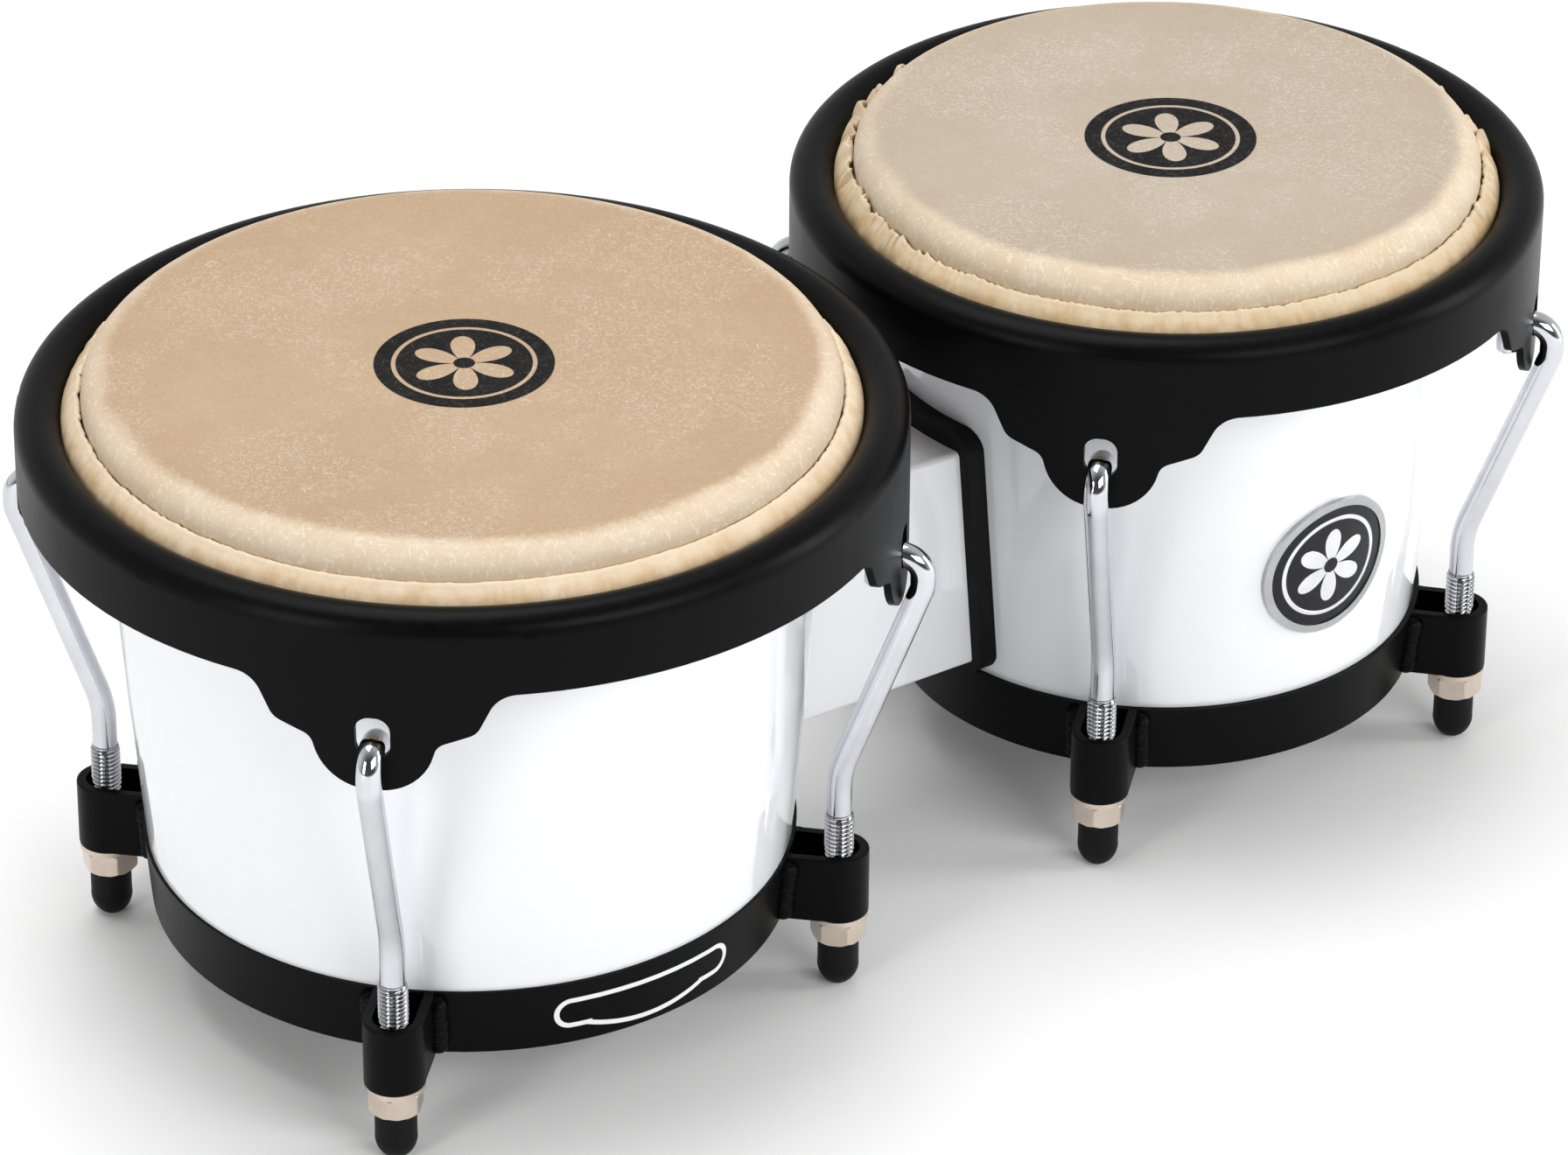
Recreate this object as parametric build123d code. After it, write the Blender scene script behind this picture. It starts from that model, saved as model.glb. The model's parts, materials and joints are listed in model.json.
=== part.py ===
"""A pair of bongo drums, in millimetres, +Z up.

Two tapered shells stand side by side along X, joined by a block. The larger drum is on -X.
The origin is on the floor, at the middle of the pair's bounding box. Each drum is modelled round
its own axis and then moved into place. Every separate piece becomes one STEP file in parts/.
"""

import os
from dataclasses import dataclass
from math import cos, pi, radians, sin, sqrt, tan

from build123d import *

# ---------------------------------------------------------------- driving sizes, whole pair
LARGE_HEAD_DIAMETER = 190.5      # 7.5 inch shell
SMALL_HEAD_DIAMETER = 165.1      # 6.5 inch shell
RIM_TO_RIM = 7.7                 # clear space between the two rims
PLAYING_HEIGHT = 176.5           # floor to the playing surface
LUG_COUNT = 4
FIRST_LUG_ANGLE = -135.0         # lugs sit at 45 degrees to the line that joins the drums
FACE_GAP = 0.05                  # between flat faces that only touch
FIT_GAP = 0.4                    # between pieces that pass each other

# ---------------------------------------------------------------- shell
SHELL_TAPER = 4.72               # degrees, from the axis
SHELL_WALL = 7.7
BEARING_ROUND = 6.7              # outer round of the edge that the skin lies over

# ---------------------------------------------------------------- head
SKIN_THICKNESS = 1.3
SKIN_TO_SHELL = 0.2              # the collar hangs just clear of the shell's wall
COLLAR_HEIGHT = 26.0             # its lower edge stays inside the rolled skin over the whole travel
HOOP_RADIUS = 2.95               # wire of the flesh hoop
TUCK_BORE = 3.0                  # inside of the skin rolled round the hoop
TUCK_RADIUS = 4.3                # outside of the same roll
TAIL_THICKNESS = 1.3             # the rolled skin's end, standing up between the collar and the rim
TAIL_KNEE = 10.0                 # above the hoop's line, where the end leans in
TAIL_TOP = 14.2                  # above the hoop's line

# ---------------------------------------------------------------- rim
RIM_SHEET = 2.0
LIP_OUTSIDE_HOOP = 2.7           # from the hoop's line to the middle of the lip that presses on it
RIM_CREST_BELOW_HEAD = 9.6       # from the playing surface to the top of the rim
RIM_CREST_ROUND = 5.9
RIM_LIP_LENGTH = 2.4             # straight stretch of the lip, below the round
SKIRT_BELOW_CREST = 21.2         # height of the plain skirt
TAB_BELOW_CREST = 48.6           # height down to the tip of a tab
TAB_SHOULDER_WIDTH = 61.0
TAB_SHELF_WIDTH = 50.6
TAB_SHELF_RISE = 16.7            # of the shelf's outer corner above the tab's tip
TAB_LOBE_WIDTH = 31.2
TAB_LOBE_RISE = 13.3             # of the shelf's inner corner above the tab's tip
TAB_TIP_WIDTH = 24.0
TAB_FILLETS = (7.0, 4.5, 4.0, 14.0)
TAB_OVERLAP = 4.0                # how far a tab runs up into the skirt before they are joined
HOLE_RISE = 8.6                  # of the hole's lowest point above the tab's tip
HOLE_WIDTH = 8.8
HOLE_HEIGHT = 11.8
HOLE_TOP_ROUND = 3.8

# ---------------------------------------------------------------- tuning hooks, nuts, washers, feet
LUG_INSIDE_RIM = 15.9            # from the rim's outside to the line of the threaded ends
ROD_RADIUS = 3.25
THREAD_RADIUS = 3.9              # M8, rolled on a thinner rod
THREAD_TOP = 52.0
ROD_LEAN = 20.0                  # degrees, of the sloping stretch
ROD_BEND = 30.0                  # radius of the lower bend
HOOK_BEND = 5.9                  # radius of the bend over the tab
HOOK_SEAT_GAP = 0.16             # between the bend and the bottom of its hole
LEG_TO_TAB = 0.35                # least space between the sloping rod and the tab's tip
HOOK_TAIL = 3.0                  # straight end inside the rim
ROD_END_ROUND = 0.8
NUT_ACROSS_FLATS = 13.0
NUT_HEIGHT = 6.45
NUT_CORNER_RADIUS = 7.35         # the corners are turned down to this
NUT_CHAMFER = 0.7
NUT_CLEARANCE = 0.05
WASHER_RADIUS = 7.8
WASHER_THICKNESS = 1.45
ROD_HOLE_RADIUS = 4.3            # in washers and brackets
FOOT_RADIUS = 5.4
FOOT_FLAT_RADIUS = 2.2
FOOT_DOME = 6.5
FOOT_FLOOR = 4.0                 # rubber under the rod's end
FOOT_TOP_ROUND = 0.5
FOOT_TO_NUT = 0.1                # the foot stops the rod from rising any further

# ---------------------------------------------------------------- bottom ring and its brackets
RING_FLOOR_HEIGHT = 22.2         # floor to the ring's lower edge
RING_HEIGHT = 18.8
RING_SHEET = 1.8
RING_LEDGE = 2.0                 # thickness of the ledge under the shell
RING_TO_SHELL = 0.1
BRACKET_WIDTH = 15.8
BRACKET_SHEET = 2.5
BRACKET_EDGE_ROUND = 0.6
WELD_RADIUS = 2.2
WELD_HEIGHT = 15.5
WELD_OUT = 0.8                   # how far the bead's line stands off the ring
WELD_END_ROUND = 1.4

# ---------------------------------------------------------------- joining block
BLOCK_WIDTH = 38.0
BLOCK_FLOOR = 46.0
BLOCK_TOP = 113.0
BLOCK_EDGE_ROUND = 1.6
GASKET_THICKNESS = 5.0
GASKET_WIDTH = 44.0
GASKET_FLOOR = 42.6
GASKET_TOP = 118.6
GASKET_CORNER = 6.0
PLATE_THICKNESS = 2.0            # backing plates inside the shells
PLATE_WIDTH = 34.0
PLATE_FLOOR = 50.0
PLATE_TOP = 112.0
PLATE_CORNER = 5.0
BOLT_HEIGHTS = (65.0, 96.0)
BOLT_RADIUS = 3.9
BOLT_HOLE_RADIUS = 4.2
SADDLE_RADIUS = 9.0
SADDLE_THICKNESS = 2.6           # at its middle
BOLT_HEAD_RADIUS = 7.5
BOLT_HEAD_HEIGHT = 4.6
BOLT_HEAD_ROUND = 2.4
BOLT_END = 4.0                   # thread past the nut
LOCKNUT_HEIGHT = 7.5

# ---------------------------------------------------------------- badge
BADGE_RADIUS = 20.5
BADGE_RING_WIDTH = 2.2
BADGE_RING_THICKNESS = 1.3
BADGE_DISC_THICKNESS = 0.9
BADGE_HEIGHT = 79.6              # its middle, above the floor
BADGE_ANGLE = -89.0

# ---------------------------------------------------------------- levels that follow from them
SHELL_TOP = PLAYING_HEIGHT - SKIN_THICKNESS
SHELL_FLOOR = RING_FLOOR_HEIGHT + RING_LEDGE + FACE_GAP
ROUND_LEVEL = SHELL_TOP - BEARING_ROUND
RING_TOP = RING_FLOOR_HEIGHT + RING_HEIGHT
CREST = PLAYING_HEIGHT - RIM_CREST_BELOW_HEAD
LIP_LEVEL = CREST - RIM_CREST_ROUND - RIM_LIP_LENGTH
HOOP_LEVEL = LIP_LEVEL - sqrt((TUCK_RADIUS + RIM_SHEET / 2 + FACE_GAP) ** 2 - LIP_OUTSIDE_HOOP ** 2)
SKIRT_FLOOR = CREST - SKIRT_BELOW_CREST
TAB_FLOOR = CREST - TAB_BELOW_CREST
WASHER_FLOOR = RING_FLOOR_HEIGHT - FACE_GAP - WASHER_THICKNESS
NUT_TOP = WASHER_FLOOR - FACE_GAP
NUT_FLOOR = NUT_TOP - NUT_HEIGHT
FOOT_TOP = NUT_FLOOR - FOOT_TO_NUT
HOLE_FLOOR = TAB_FLOOR + HOLE_RISE
HOOK_LEVEL = HOLE_FLOOR + HOOK_SEAT_GAP - sqrt(
    (HOOK_BEND - ROD_RADIUS) ** 2 - (RIM_SHEET / 2) ** 2
)
LEG_CLEARANCE = HOOK_BEND * cos(radians(ROD_LEAN)) - ROD_RADIUS / cos(radians(ROD_LEAN)) - RIM_SHEET / 2
LEG_DROP = max(                  # upright stretch that a tight bend needs before the rod may lean in
    0.0,
    HOOK_LEVEL - HOOK_BEND * sin(radians(ROD_LEAN)) - TAB_FLOOR
    - (LEG_CLEARANCE - LEG_TO_TAB) / tan(radians(ROD_LEAN)),
)
DIAGONAL = cos(pi / 4)
REACH = 400.0                    # longer than anything that it cuts


@dataclass(frozen=True)
class Drum:
    """The sizes that make one drum differ from the other, and the radii that follow from them."""

    name: str
    head_diameter: float
    clocking: float              # degrees that the lugs are turned from their nominal angle
    foot_step: float             # depth of the step in the shell that the bottom ring sits in
    side: int                    # direction along X from the drum's axis to the block

    @property
    def shell(self) -> float:
        """Outer radius that the shell's taper reaches at its top."""
        return self.head_diameter / 2

    @property
    def hoop(self) -> float:
        """Radius of the flesh hoop's line."""
        return self.wall(HOOP_LEVEL) + SKIN_TO_SHELL + SKIN_THICKNESS + FIT_GAP + TUCK_RADIUS

    @property
    def rim(self) -> float:
        """Outer radius of the rim's skirt."""
        return self.hoop + LIP_OUTSIDE_HOOP - RIM_SHEET / 2 + 2 * RIM_CREST_ROUND

    @property
    def lug(self) -> float:
        """Radius of the circle that the threaded ends stand on."""
        return self.rim - LUG_INSIDE_RIM

    def wall(self, height: float) -> float:
        """Outer radius of the shell at a height above the floor."""
        return self.shell - (SHELL_TOP - height) * tan(radians(SHELL_TAPER))

    def ring(self, height: float) -> float:
        """Outer radius of the bottom ring at a height above the floor."""
        return self.wall(height) - self.foot_step + RING_TO_SHELL + RING_SHEET


LARGE = Drum("large", LARGE_HEAD_DIAMETER, 1.3, 1.0, 1)
SMALL = Drum("small", SMALL_HEAD_DIAMETER, -0.9, 0.4, -1)
CENTRE = {                       # the pair is centred on the origin
    LARGE.name: -SMALL.rim - RIM_TO_RIM / 2,
    SMALL.name: LARGE.rim + RIM_TO_RIM / 2,
}


# ---------------------------------------------------------------- helpers
def turned(points: list) -> Part:
    """A solid turned round Z from a closed outline of (radius, height) points."""
    outline = make_face(Polyline(*[(r, 0, z) for r, z in points], close=True))
    return revolve(outline, Axis.Z)


def cone(drum: Drum, offset: float, floor: float, top: float) -> Part:
    """A solid that follows the shell's taper, offset outwards from its wall."""
    return turned([(0, floor), (drum.wall(floor) + offset, floor), (drum.wall(top) + offset, top), (0, top)])


def upright(radius: float, floor: float, top: float, x: float = 0.0) -> Part:
    """A vertical cylinder between two heights."""
    return Pos(x, 0, (floor + top) / 2) * Cylinder(radius, top - floor)


def along_x(radius: float, start: float, end: float, height: float) -> Part:
    """A cylinder along X between two places, at a height."""
    return Pos((start + end) / 2, 0, height) * Rot(0, 90, 0) * Cylinder(radius, abs(end - start))


def radial_plane(angle: float) -> Plane:
    """A plane on the drum's axis whose x runs sideways, whose y runs up and whose normal points outwards."""
    outwards = Vector(cos(radians(angle)), sin(radians(angle)), 0)
    return Plane(origin=(0, 0, 0), x_dir=Vector(-outwards.Y, outwards.X, 0), z_dir=outwards)


def lug_angles(drum: Drum) -> list:
    """The angles of a drum's lugs, in order."""
    return [FIRST_LUG_ANGLE + drum.clocking + 360 / LUG_COUNT * n for n in range(LUG_COUNT)]


def bolt_holes(start: float, end: float) -> list:
    """The two bolt holes, along X between two places."""
    return [along_x(BOLT_HOLE_RADIUS, start, end, z) for z in BOLT_HEIGHTS]


def in_place(drum: Drum, part: Part) -> Part:
    """Moves a piece from the drum's own axis to its place in the pair."""
    return Pos(CENTRE[drum.name], 0, 0) * part


def rounded_slab(width: float, floor: float, top: float, corner: float) -> Part:
    """An upright slab with rounded corners, long along X, centred on the line between the drums."""
    sketch = RectangleRounded(width, top - floor, corner)
    return extrude(Plane.YZ.offset(-REACH / 2) * Pos(0, (floor + top) / 2) * sketch, REACH)


# ---------------------------------------------------------------- shell and head
def shell(drum: Drum) -> Part:
    """The tapered shell: rounded bearing edge, step for the bottom ring and two bolt holes."""
    crown = drum.shell - BEARING_ROUND
    bevel = SHELL_WALL - BEARING_ROUND
    step = RING_TOP + FACE_GAP
    with BuildPart() as body:
        with BuildSketch(Plane.XZ):
            with BuildLine():
                Polyline(
                    (drum.wall(ROUND_LEVEL), ROUND_LEVEL),
                    (drum.wall(step), step),
                    (drum.wall(step) - drum.foot_step, step),
                    (drum.wall(SHELL_FLOOR) - drum.foot_step, SHELL_FLOOR),
                    (drum.wall(SHELL_FLOOR) - SHELL_WALL, SHELL_FLOOR),
                    (crown - bevel, SHELL_TOP - bevel),
                    (crown, SHELL_TOP),
                )
                ThreePointArc(
                    (crown, SHELL_TOP),
                    (crown + (BEARING_ROUND - 0.3) * DIAGONAL, ROUND_LEVEL + BEARING_ROUND * DIAGONAL),
                    (drum.wall(ROUND_LEVEL), ROUND_LEVEL),
                )
            make_face()
        revolve(axis=Axis.Z)
    return body.part - bolt_holes(0, drum.side * REACH / 2)


def head(drum: Drum) -> Part:
    """The flat playing skin, out to the crown of the bearing edge."""
    return upright(drum.shell - BEARING_ROUND, SHELL_TOP + FACE_GAP, PLAYING_HEIGHT)


def head_collar(drum: Drum) -> Part:
    """The same skin where it turns down over the bearing edge and follows the shell's taper."""
    crown = drum.shell - BEARING_ROUND
    inner = BEARING_ROUND + FACE_GAP
    outer = BEARING_ROUND + SKIN_THICKNESS
    floor = PLAYING_HEIGHT - COLLAR_HEIGHT
    inside = [drum.wall(z) + SKIN_TO_SHELL for z in (ROUND_LEVEL, floor)]
    outside = [r + SKIN_THICKNESS for r in inside]
    with BuildPart() as body:
        with BuildSketch(Plane.XZ):
            with BuildLine():
                Line((crown + FACE_GAP, SHELL_TOP + FACE_GAP), (crown + FACE_GAP, PLAYING_HEIGHT))
                ThreePointArc(
                    (crown + FACE_GAP, PLAYING_HEIGHT),
                    (crown + outer * DIAGONAL, ROUND_LEVEL + outer * DIAGONAL),
                    (outside[0], ROUND_LEVEL),
                )
                Polyline(
                    (outside[0], ROUND_LEVEL), (outside[1], floor), (inside[1], floor), (inside[0], ROUND_LEVEL)
                )
                ThreePointArc(
                    (inside[0], ROUND_LEVEL),
                    (crown + inner * DIAGONAL, ROUND_LEVEL + inner * DIAGONAL),
                    (crown + FACE_GAP, SHELL_TOP + FACE_GAP),
                )
            make_face()
        revolve(axis=Axis.Z)
    return body.part


def flesh_hoop(drum: Drum) -> Part:
    """The steel wire hoop that the skin is rolled round."""
    return Pos(0, 0, HOOP_LEVEL) * Torus(drum.hoop, HOOP_RADIUS)


def skin_tuck(drum: Drum) -> Part:
    """The skin rolled round the hoop, with its end standing up beside the collar."""
    outer = drum.hoop + LIP_OUTSIDE_HOOP - RIM_SHEET / 2 - 2 * FACE_GAP
    top = drum.wall(HOOP_LEVEL + TAIL_TOP) + SKIN_TO_SHELL + SKIN_THICKNESS + FIT_GAP
    tail = turned(
        [
            (outer - TAIL_THICKNESS, 0),
            (outer, 0),
            (outer, TAIL_KNEE),
            (top + TAIL_THICKNESS, TAIL_TOP),
            (top, TAIL_TOP - TAIL_THICKNESS / 2),
            (outer - TAIL_THICKNESS, TAIL_KNEE - TAIL_THICKNESS),
        ]
    )
    solid = Torus(drum.hoop, TUCK_RADIUS) + tail
    return Pos(0, 0, HOOP_LEVEL) * (solid - Torus(drum.hoop, TUCK_BORE))


# ---------------------------------------------------------------- rim
def tab_outline() -> Face:
    """One scalloped tab, seen from outside, standing on the drum's axis."""
    half = [
        (TAB_SHOULDER_WIDTH / 2, SKIRT_FLOOR),
        (TAB_SHELF_WIDTH / 2, TAB_FLOOR + TAB_SHELF_RISE),
        (TAB_LOBE_WIDTH / 2, TAB_FLOOR + TAB_LOBE_RISE),
        (TAB_TIP_WIDTH / 2, TAB_FLOOR),
    ]
    edge = TAB_SHOULDER_WIDTH / 2 + TAB_FILLETS[0]
    top = SKIRT_FLOOR + TAB_OVERLAP
    right = [(edge, top), (edge, SKIRT_FLOOR), *half]
    left = [(-x, z) for x, z in reversed(right)]
    radii = [0, 0, *TAB_FILLETS]
    return make_face(FilletPolyline(*right, *left, radius=[*radii, *reversed(radii)], close=True))


def hole_outline() -> Face:
    """The hole for a hook: round below, where the bend sits, and squarer above."""
    half = HOLE_WIDTH / 2
    top = HOLE_FLOOR + HOLE_HEIGHT
    corners = [(half, HOLE_FLOOR), (half, top), (-half, top), (-half, HOLE_FLOOR)]
    radii = [half - 0.01, HOLE_TOP_ROUND, HOLE_TOP_ROUND, half - 0.01]
    return make_face(FilletPolyline(*corners, radius=radii, close=True))


def rim(drum: Drum) -> Part:
    """The pressed steel rim: skirt, rolled crest, lip on the hoop, and one pierced tab at each lug."""
    middle = drum.rim - RIM_CREST_ROUND
    level = CREST - RIM_CREST_ROUND
    inside = RIM_CREST_ROUND - RIM_SHEET
    lip = middle - RIM_CREST_ROUND + RIM_SHEET / 2
    with BuildPart() as body:
        with BuildSketch(Plane.XZ):
            with BuildLine():
                Polyline(
                    (middle + inside, level),
                    (middle + inside, SKIRT_FLOOR),
                    (drum.rim, SKIRT_FLOOR),
                    (drum.rim, level),
                )
                ThreePointArc((drum.rim, level), (middle, CREST), (middle - RIM_CREST_ROUND, level))
                Line((middle - RIM_CREST_ROUND, level), (middle - RIM_CREST_ROUND, LIP_LEVEL))
                ThreePointArc(
                    (middle - RIM_CREST_ROUND, LIP_LEVEL),
                    (lip, LIP_LEVEL - RIM_SHEET / 2),
                    (middle - inside, LIP_LEVEL),
                )
                Line((middle - inside, LIP_LEVEL), (middle - inside, level))
                ThreePointArc((middle - inside, level), (middle, level + inside), (middle + inside, level))
            make_face()
        revolve(axis=Axis.Z)
    top = SKIRT_FLOOR + TAB_OVERLAP + 1
    sleeve = upright(drum.rim, TAB_FLOOR - 1, top) - upright(drum.rim - RIM_SHEET, TAB_FLOOR - 2, top + 1)
    ring = body.part
    for angle in lug_angles(drum):
        ring = ring + (sleeve & extrude(radial_plane(angle) * tab_outline(), REACH / 2))
    for angle in lug_angles(drum):
        ring = ring - extrude(radial_plane(angle) * hole_outline(), REACH / 2)
    return ring


# ---------------------------------------------------------------- tuning hardware
def tuning_hook(drum: Drum) -> Part:
    """A tuning hook standing at angle zero: threaded end, sloping rod, and the bend over the tab."""
    lean = radians(ROD_LEAN)
    tab = drum.rim - RIM_SHEET / 2
    leg = (tab + HOOK_BEND * cos(lean), HOOK_LEVEL - LEG_DROP - HOOK_BEND * sin(lean))
    knee = leg[1] - (leg[0] - drum.lug) / tan(lean) - ROD_BEND * tan(lean / 2)
    centre = drum.lug + ROD_BEND
    half_bend = (centre - ROD_BEND * cos(lean / 2), knee + ROD_BEND * sin(lean / 2))
    full_bend = (centre - ROD_BEND * cos(lean), knee + ROD_BEND * sin(lean))
    start = THREAD_TOP - 2
    tail = (tab - HOOK_BEND, HOOK_LEVEL - HOOK_TAIL)
    with BuildPart() as rod:
        with BuildLine(Plane.XZ) as path:
            Line((drum.lug, start), (drum.lug, knee))
            ThreePointArc((drum.lug, knee), half_bend, full_bend)
            Line(full_bend, leg)
            if LEG_DROP:
                half_leg = (tab + HOOK_BEND * cos(lean / 2), HOOK_LEVEL - LEG_DROP - HOOK_BEND * sin(lean / 2))
                ThreePointArc(leg, half_leg, (tab + HOOK_BEND, HOOK_LEVEL - LEG_DROP))
                Line((tab + HOOK_BEND, HOOK_LEVEL - LEG_DROP), (tab + HOOK_BEND, HOOK_LEVEL))
                ThreePointArc((tab + HOOK_BEND, HOOK_LEVEL), (tab, HOOK_LEVEL + HOOK_BEND), (tail[0], HOOK_LEVEL))
            else:
                ThreePointArc(leg, (tab, HOOK_LEVEL + HOOK_BEND), (tail[0], HOOK_LEVEL))
            Line((tail[0], HOOK_LEVEL), tail)
        with BuildSketch(Plane(origin=(drum.lug, 0, start), z_dir=(0, 0, 1))):
            Circle(ROD_RADIUS)
        sweep(path=path.line)
    rod_end = rod.part.faces().sort_by_distance(Vector(tail[0], 0, tail[1]))[0]
    bent = rod.part.fillet(ROD_END_ROUND, rod_end.edges())
    thread = upright(THREAD_RADIUS, FOOT_FLOOR, THREAD_TOP, drum.lug)
    ends = thread.edges().filter_by(GeomType.CIRCLE)
    return bent + thread.chamfer(THREAD_RADIUS - ROD_RADIUS, None, ends)


def nut() -> Part:
    """A hexagon nut on its own axis, with its corners turned down."""
    hexagon = RegularPolygon(NUT_ACROSS_FLATS / 2, 6, major_radius=False)
    blank = extrude(Plane.XY.offset(NUT_FLOOR) * hexagon, NUT_HEIGHT)
    turning = upright(NUT_CORNER_RADIUS, NUT_FLOOR, NUT_TOP)
    turning = turning.chamfer(NUT_CHAMFER, None, turning.edges().filter_by(GeomType.CIRCLE))
    return (blank & turning) - upright(THREAD_RADIUS + NUT_CLEARANCE, NUT_FLOOR - 1, NUT_TOP + 1)


def washer() -> Part:
    """A plain washer on its own axis."""
    disc = upright(WASHER_RADIUS, WASHER_FLOOR, RING_FLOOR_HEIGHT - FACE_GAP)
    return disc - upright(ROD_HOLE_RADIUS, WASHER_FLOOR - 1, RING_FLOOR_HEIGHT)


def rubber_foot() -> Part:
    """A domed rubber cap, pushed on to the threaded end, with a small flat to stand on."""
    with BuildPart() as body:
        with BuildSketch(Plane.XZ):
            with BuildLine():
                Polyline(
                    (FOOT_RADIUS, FOOT_DOME),
                    (FOOT_RADIUS, FOOT_TOP - FOOT_TOP_ROUND),
                    (FOOT_RADIUS - FOOT_TOP_ROUND, FOOT_TOP),
                    (0, FOOT_TOP),
                    (0, 0),
                    (FOOT_FLAT_RADIUS, 0),
                )
                RadiusArc((FOOT_FLAT_RADIUS, 0), (FOOT_RADIUS, FOOT_DOME), -FOOT_DOME)
            make_face()
        revolve(axis=Axis.Z)
    return body.part - upright(THREAD_RADIUS, FOOT_FLOOR, FOOT_TOP + 1)


# ---------------------------------------------------------------- bottom ring
def bottom_ring(drum: Drum) -> Part:
    """The steel band round the shell's foot, with a ledge that the shell stands on."""
    low = RING_FLOOR_HEIGHT
    ledge = low + RING_LEDGE
    inner = drum.wall(low) - SHELL_WALL
    return turned(
        [
            (drum.ring(low), low),
            (drum.ring(RING_TOP), RING_TOP),
            (drum.ring(RING_TOP) - RING_SHEET, RING_TOP),
            (drum.ring(ledge) - RING_SHEET, ledge),
            (inner, ledge),
            (inner, low),
        ]
    )


def stadium(drum: Drum, width: float) -> Sketch:
    """The plan of a U bracket at angle zero: straight sides from the axis and a round nose."""
    return Pos(drum.lug / 2, 0) * Rectangle(drum.lug, width) + Pos(drum.lug, 0) * Circle(width / 2)


def ring_block(drum: Drum) -> Part:
    """A solid that fills the bottom ring, to cut what stands against it."""
    offset = RING_TO_SHELL + RING_SHEET + FACE_GAP - drum.foot_step
    return cone(drum, offset, RING_FLOOR_HEIGHT - 5, RING_TOP + 5)


def bracket(drum: Drum) -> Part:
    """A pressed U bracket at angle zero, with a floor that the rod passes through."""
    low = RING_FLOOR_HEIGHT
    outside = extrude(Plane.XY.offset(low) * stadium(drum, BRACKET_WIDTH), RING_HEIGHT)
    level = outside.edges().filter_by(lambda e: e.bounding_box().size.Z < FACE_GAP)
    outside = outside.fillet(BRACKET_EDGE_ROUND, level.filter_by(lambda e: e.center().X > 1))
    hollow = stadium(drum, BRACKET_WIDTH - 2 * BRACKET_SHEET)
    inside = extrude(Plane.XY.offset(low + BRACKET_SHEET) * hollow, RING_HEIGHT)
    return outside - inside - upright(ROD_HOLE_RADIUS, low - 1, RING_TOP, drum.lug) - ring_block(drum)


def weld_beads(drum: Drum) -> list:
    """The two beads that hold a bracket at angle zero to the ring."""
    bead = Cylinder(WELD_RADIUS, WELD_HEIGHT)
    bead = bead.fillet(WELD_END_ROUND, bead.edges().filter_by(GeomType.CIRCLE))
    middle = RING_FLOOR_HEIGHT + RING_HEIGHT / 2
    side = BRACKET_WIDTH / 2 + FACE_GAP
    out = sqrt((drum.ring(middle) + WELD_OUT) ** 2 - side ** 2)
    beads = [Pos(out, sign * side, middle) * Rot(0, SHELL_TAPER, 0) * bead for sign in (-1, 1)]
    reach = Pos(drum.lug / 2, 0, middle) * Box(drum.lug + BRACKET_WIDTH, 2 * side, RING_HEIGHT + 9)
    return [bead - reach - ring_block(drum) for bead in beads]


# ---------------------------------------------------------------- joining block
def joining_block() -> Part:
    """The block between the drums, shaped to both gaskets, with two bolt holes."""
    body = rounded_slab(BLOCK_WIDTH, BLOCK_FLOOR, BLOCK_TOP, BLOCK_EDGE_ROUND)
    left, right = CENTRE[LARGE.name], CENTRE[SMALL.name]
    body = body & Pos((left + right) / 2, 0, 0) * Box(right - left, REACH, REACH)
    for drum in (LARGE, SMALL):
        body = body - in_place(drum, cone(drum, GASKET_THICKNESS + FACE_GAP, BLOCK_FLOOR - 9, BLOCK_TOP + 9))
    return body - bolt_holes(left, right)


def curved_layer(drum: Drum, slab: Part, inner: float, outer: float) -> Part:
    """The part of a slab between two offsets from a shell's wall, on the block's side, with bolt holes."""
    low, high = RING_FLOOR_HEIGHT, ROUND_LEVEL
    layer = cone(drum, outer, low, high) - cone(drum, inner, low - 1, high + 1)
    side = Pos(drum.side * REACH / 2, 0, 0) * Box(REACH, REACH, REACH)
    return (slab & layer & side) - bolt_holes(0, drum.side * REACH / 2)


def gasket(drum: Drum) -> Part:
    """The rubber pad between a shell and the block."""
    slab = rounded_slab(GASKET_WIDTH, GASKET_FLOOR, GASKET_TOP, GASKET_CORNER)
    return curved_layer(drum, slab, FACE_GAP, GASKET_THICKNESS)


def backing_plate(drum: Drum) -> Part:
    """The curved steel plate inside a shell that spreads the bolts' load."""
    slab = rounded_slab(PLATE_WIDTH, PLATE_FLOOR, PLATE_TOP, PLATE_CORNER)
    return curved_layer(drum, slab, -SHELL_WALL - PLATE_THICKNESS, -SHELL_WALL - FACE_GAP)


def saddle_face(drum: Drum, height: float) -> float:
    """Where a saddle's flat face lies along X, from the drum's axis, without its sign."""
    return drum.wall(height) - SHELL_WALL - PLATE_THICKNESS - SADDLE_THICKNESS


def saddles(drum: Drum) -> list:
    """The two saddles inside a shell: curved against the plate and flat under the fastener."""
    inner = cone(drum, -SHELL_WALL - PLATE_THICKNESS - FACE_GAP, RING_FLOOR_HEIGHT, SHELL_TOP)
    end = drum.side * REACH / 2
    made = []
    for height in BOLT_HEIGHTS:
        flat = drum.side * saddle_face(drum, height)
        made.append((along_x(SADDLE_RADIUS, flat, end, height) & inner) - bolt_holes(0, end))
    return made


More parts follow.
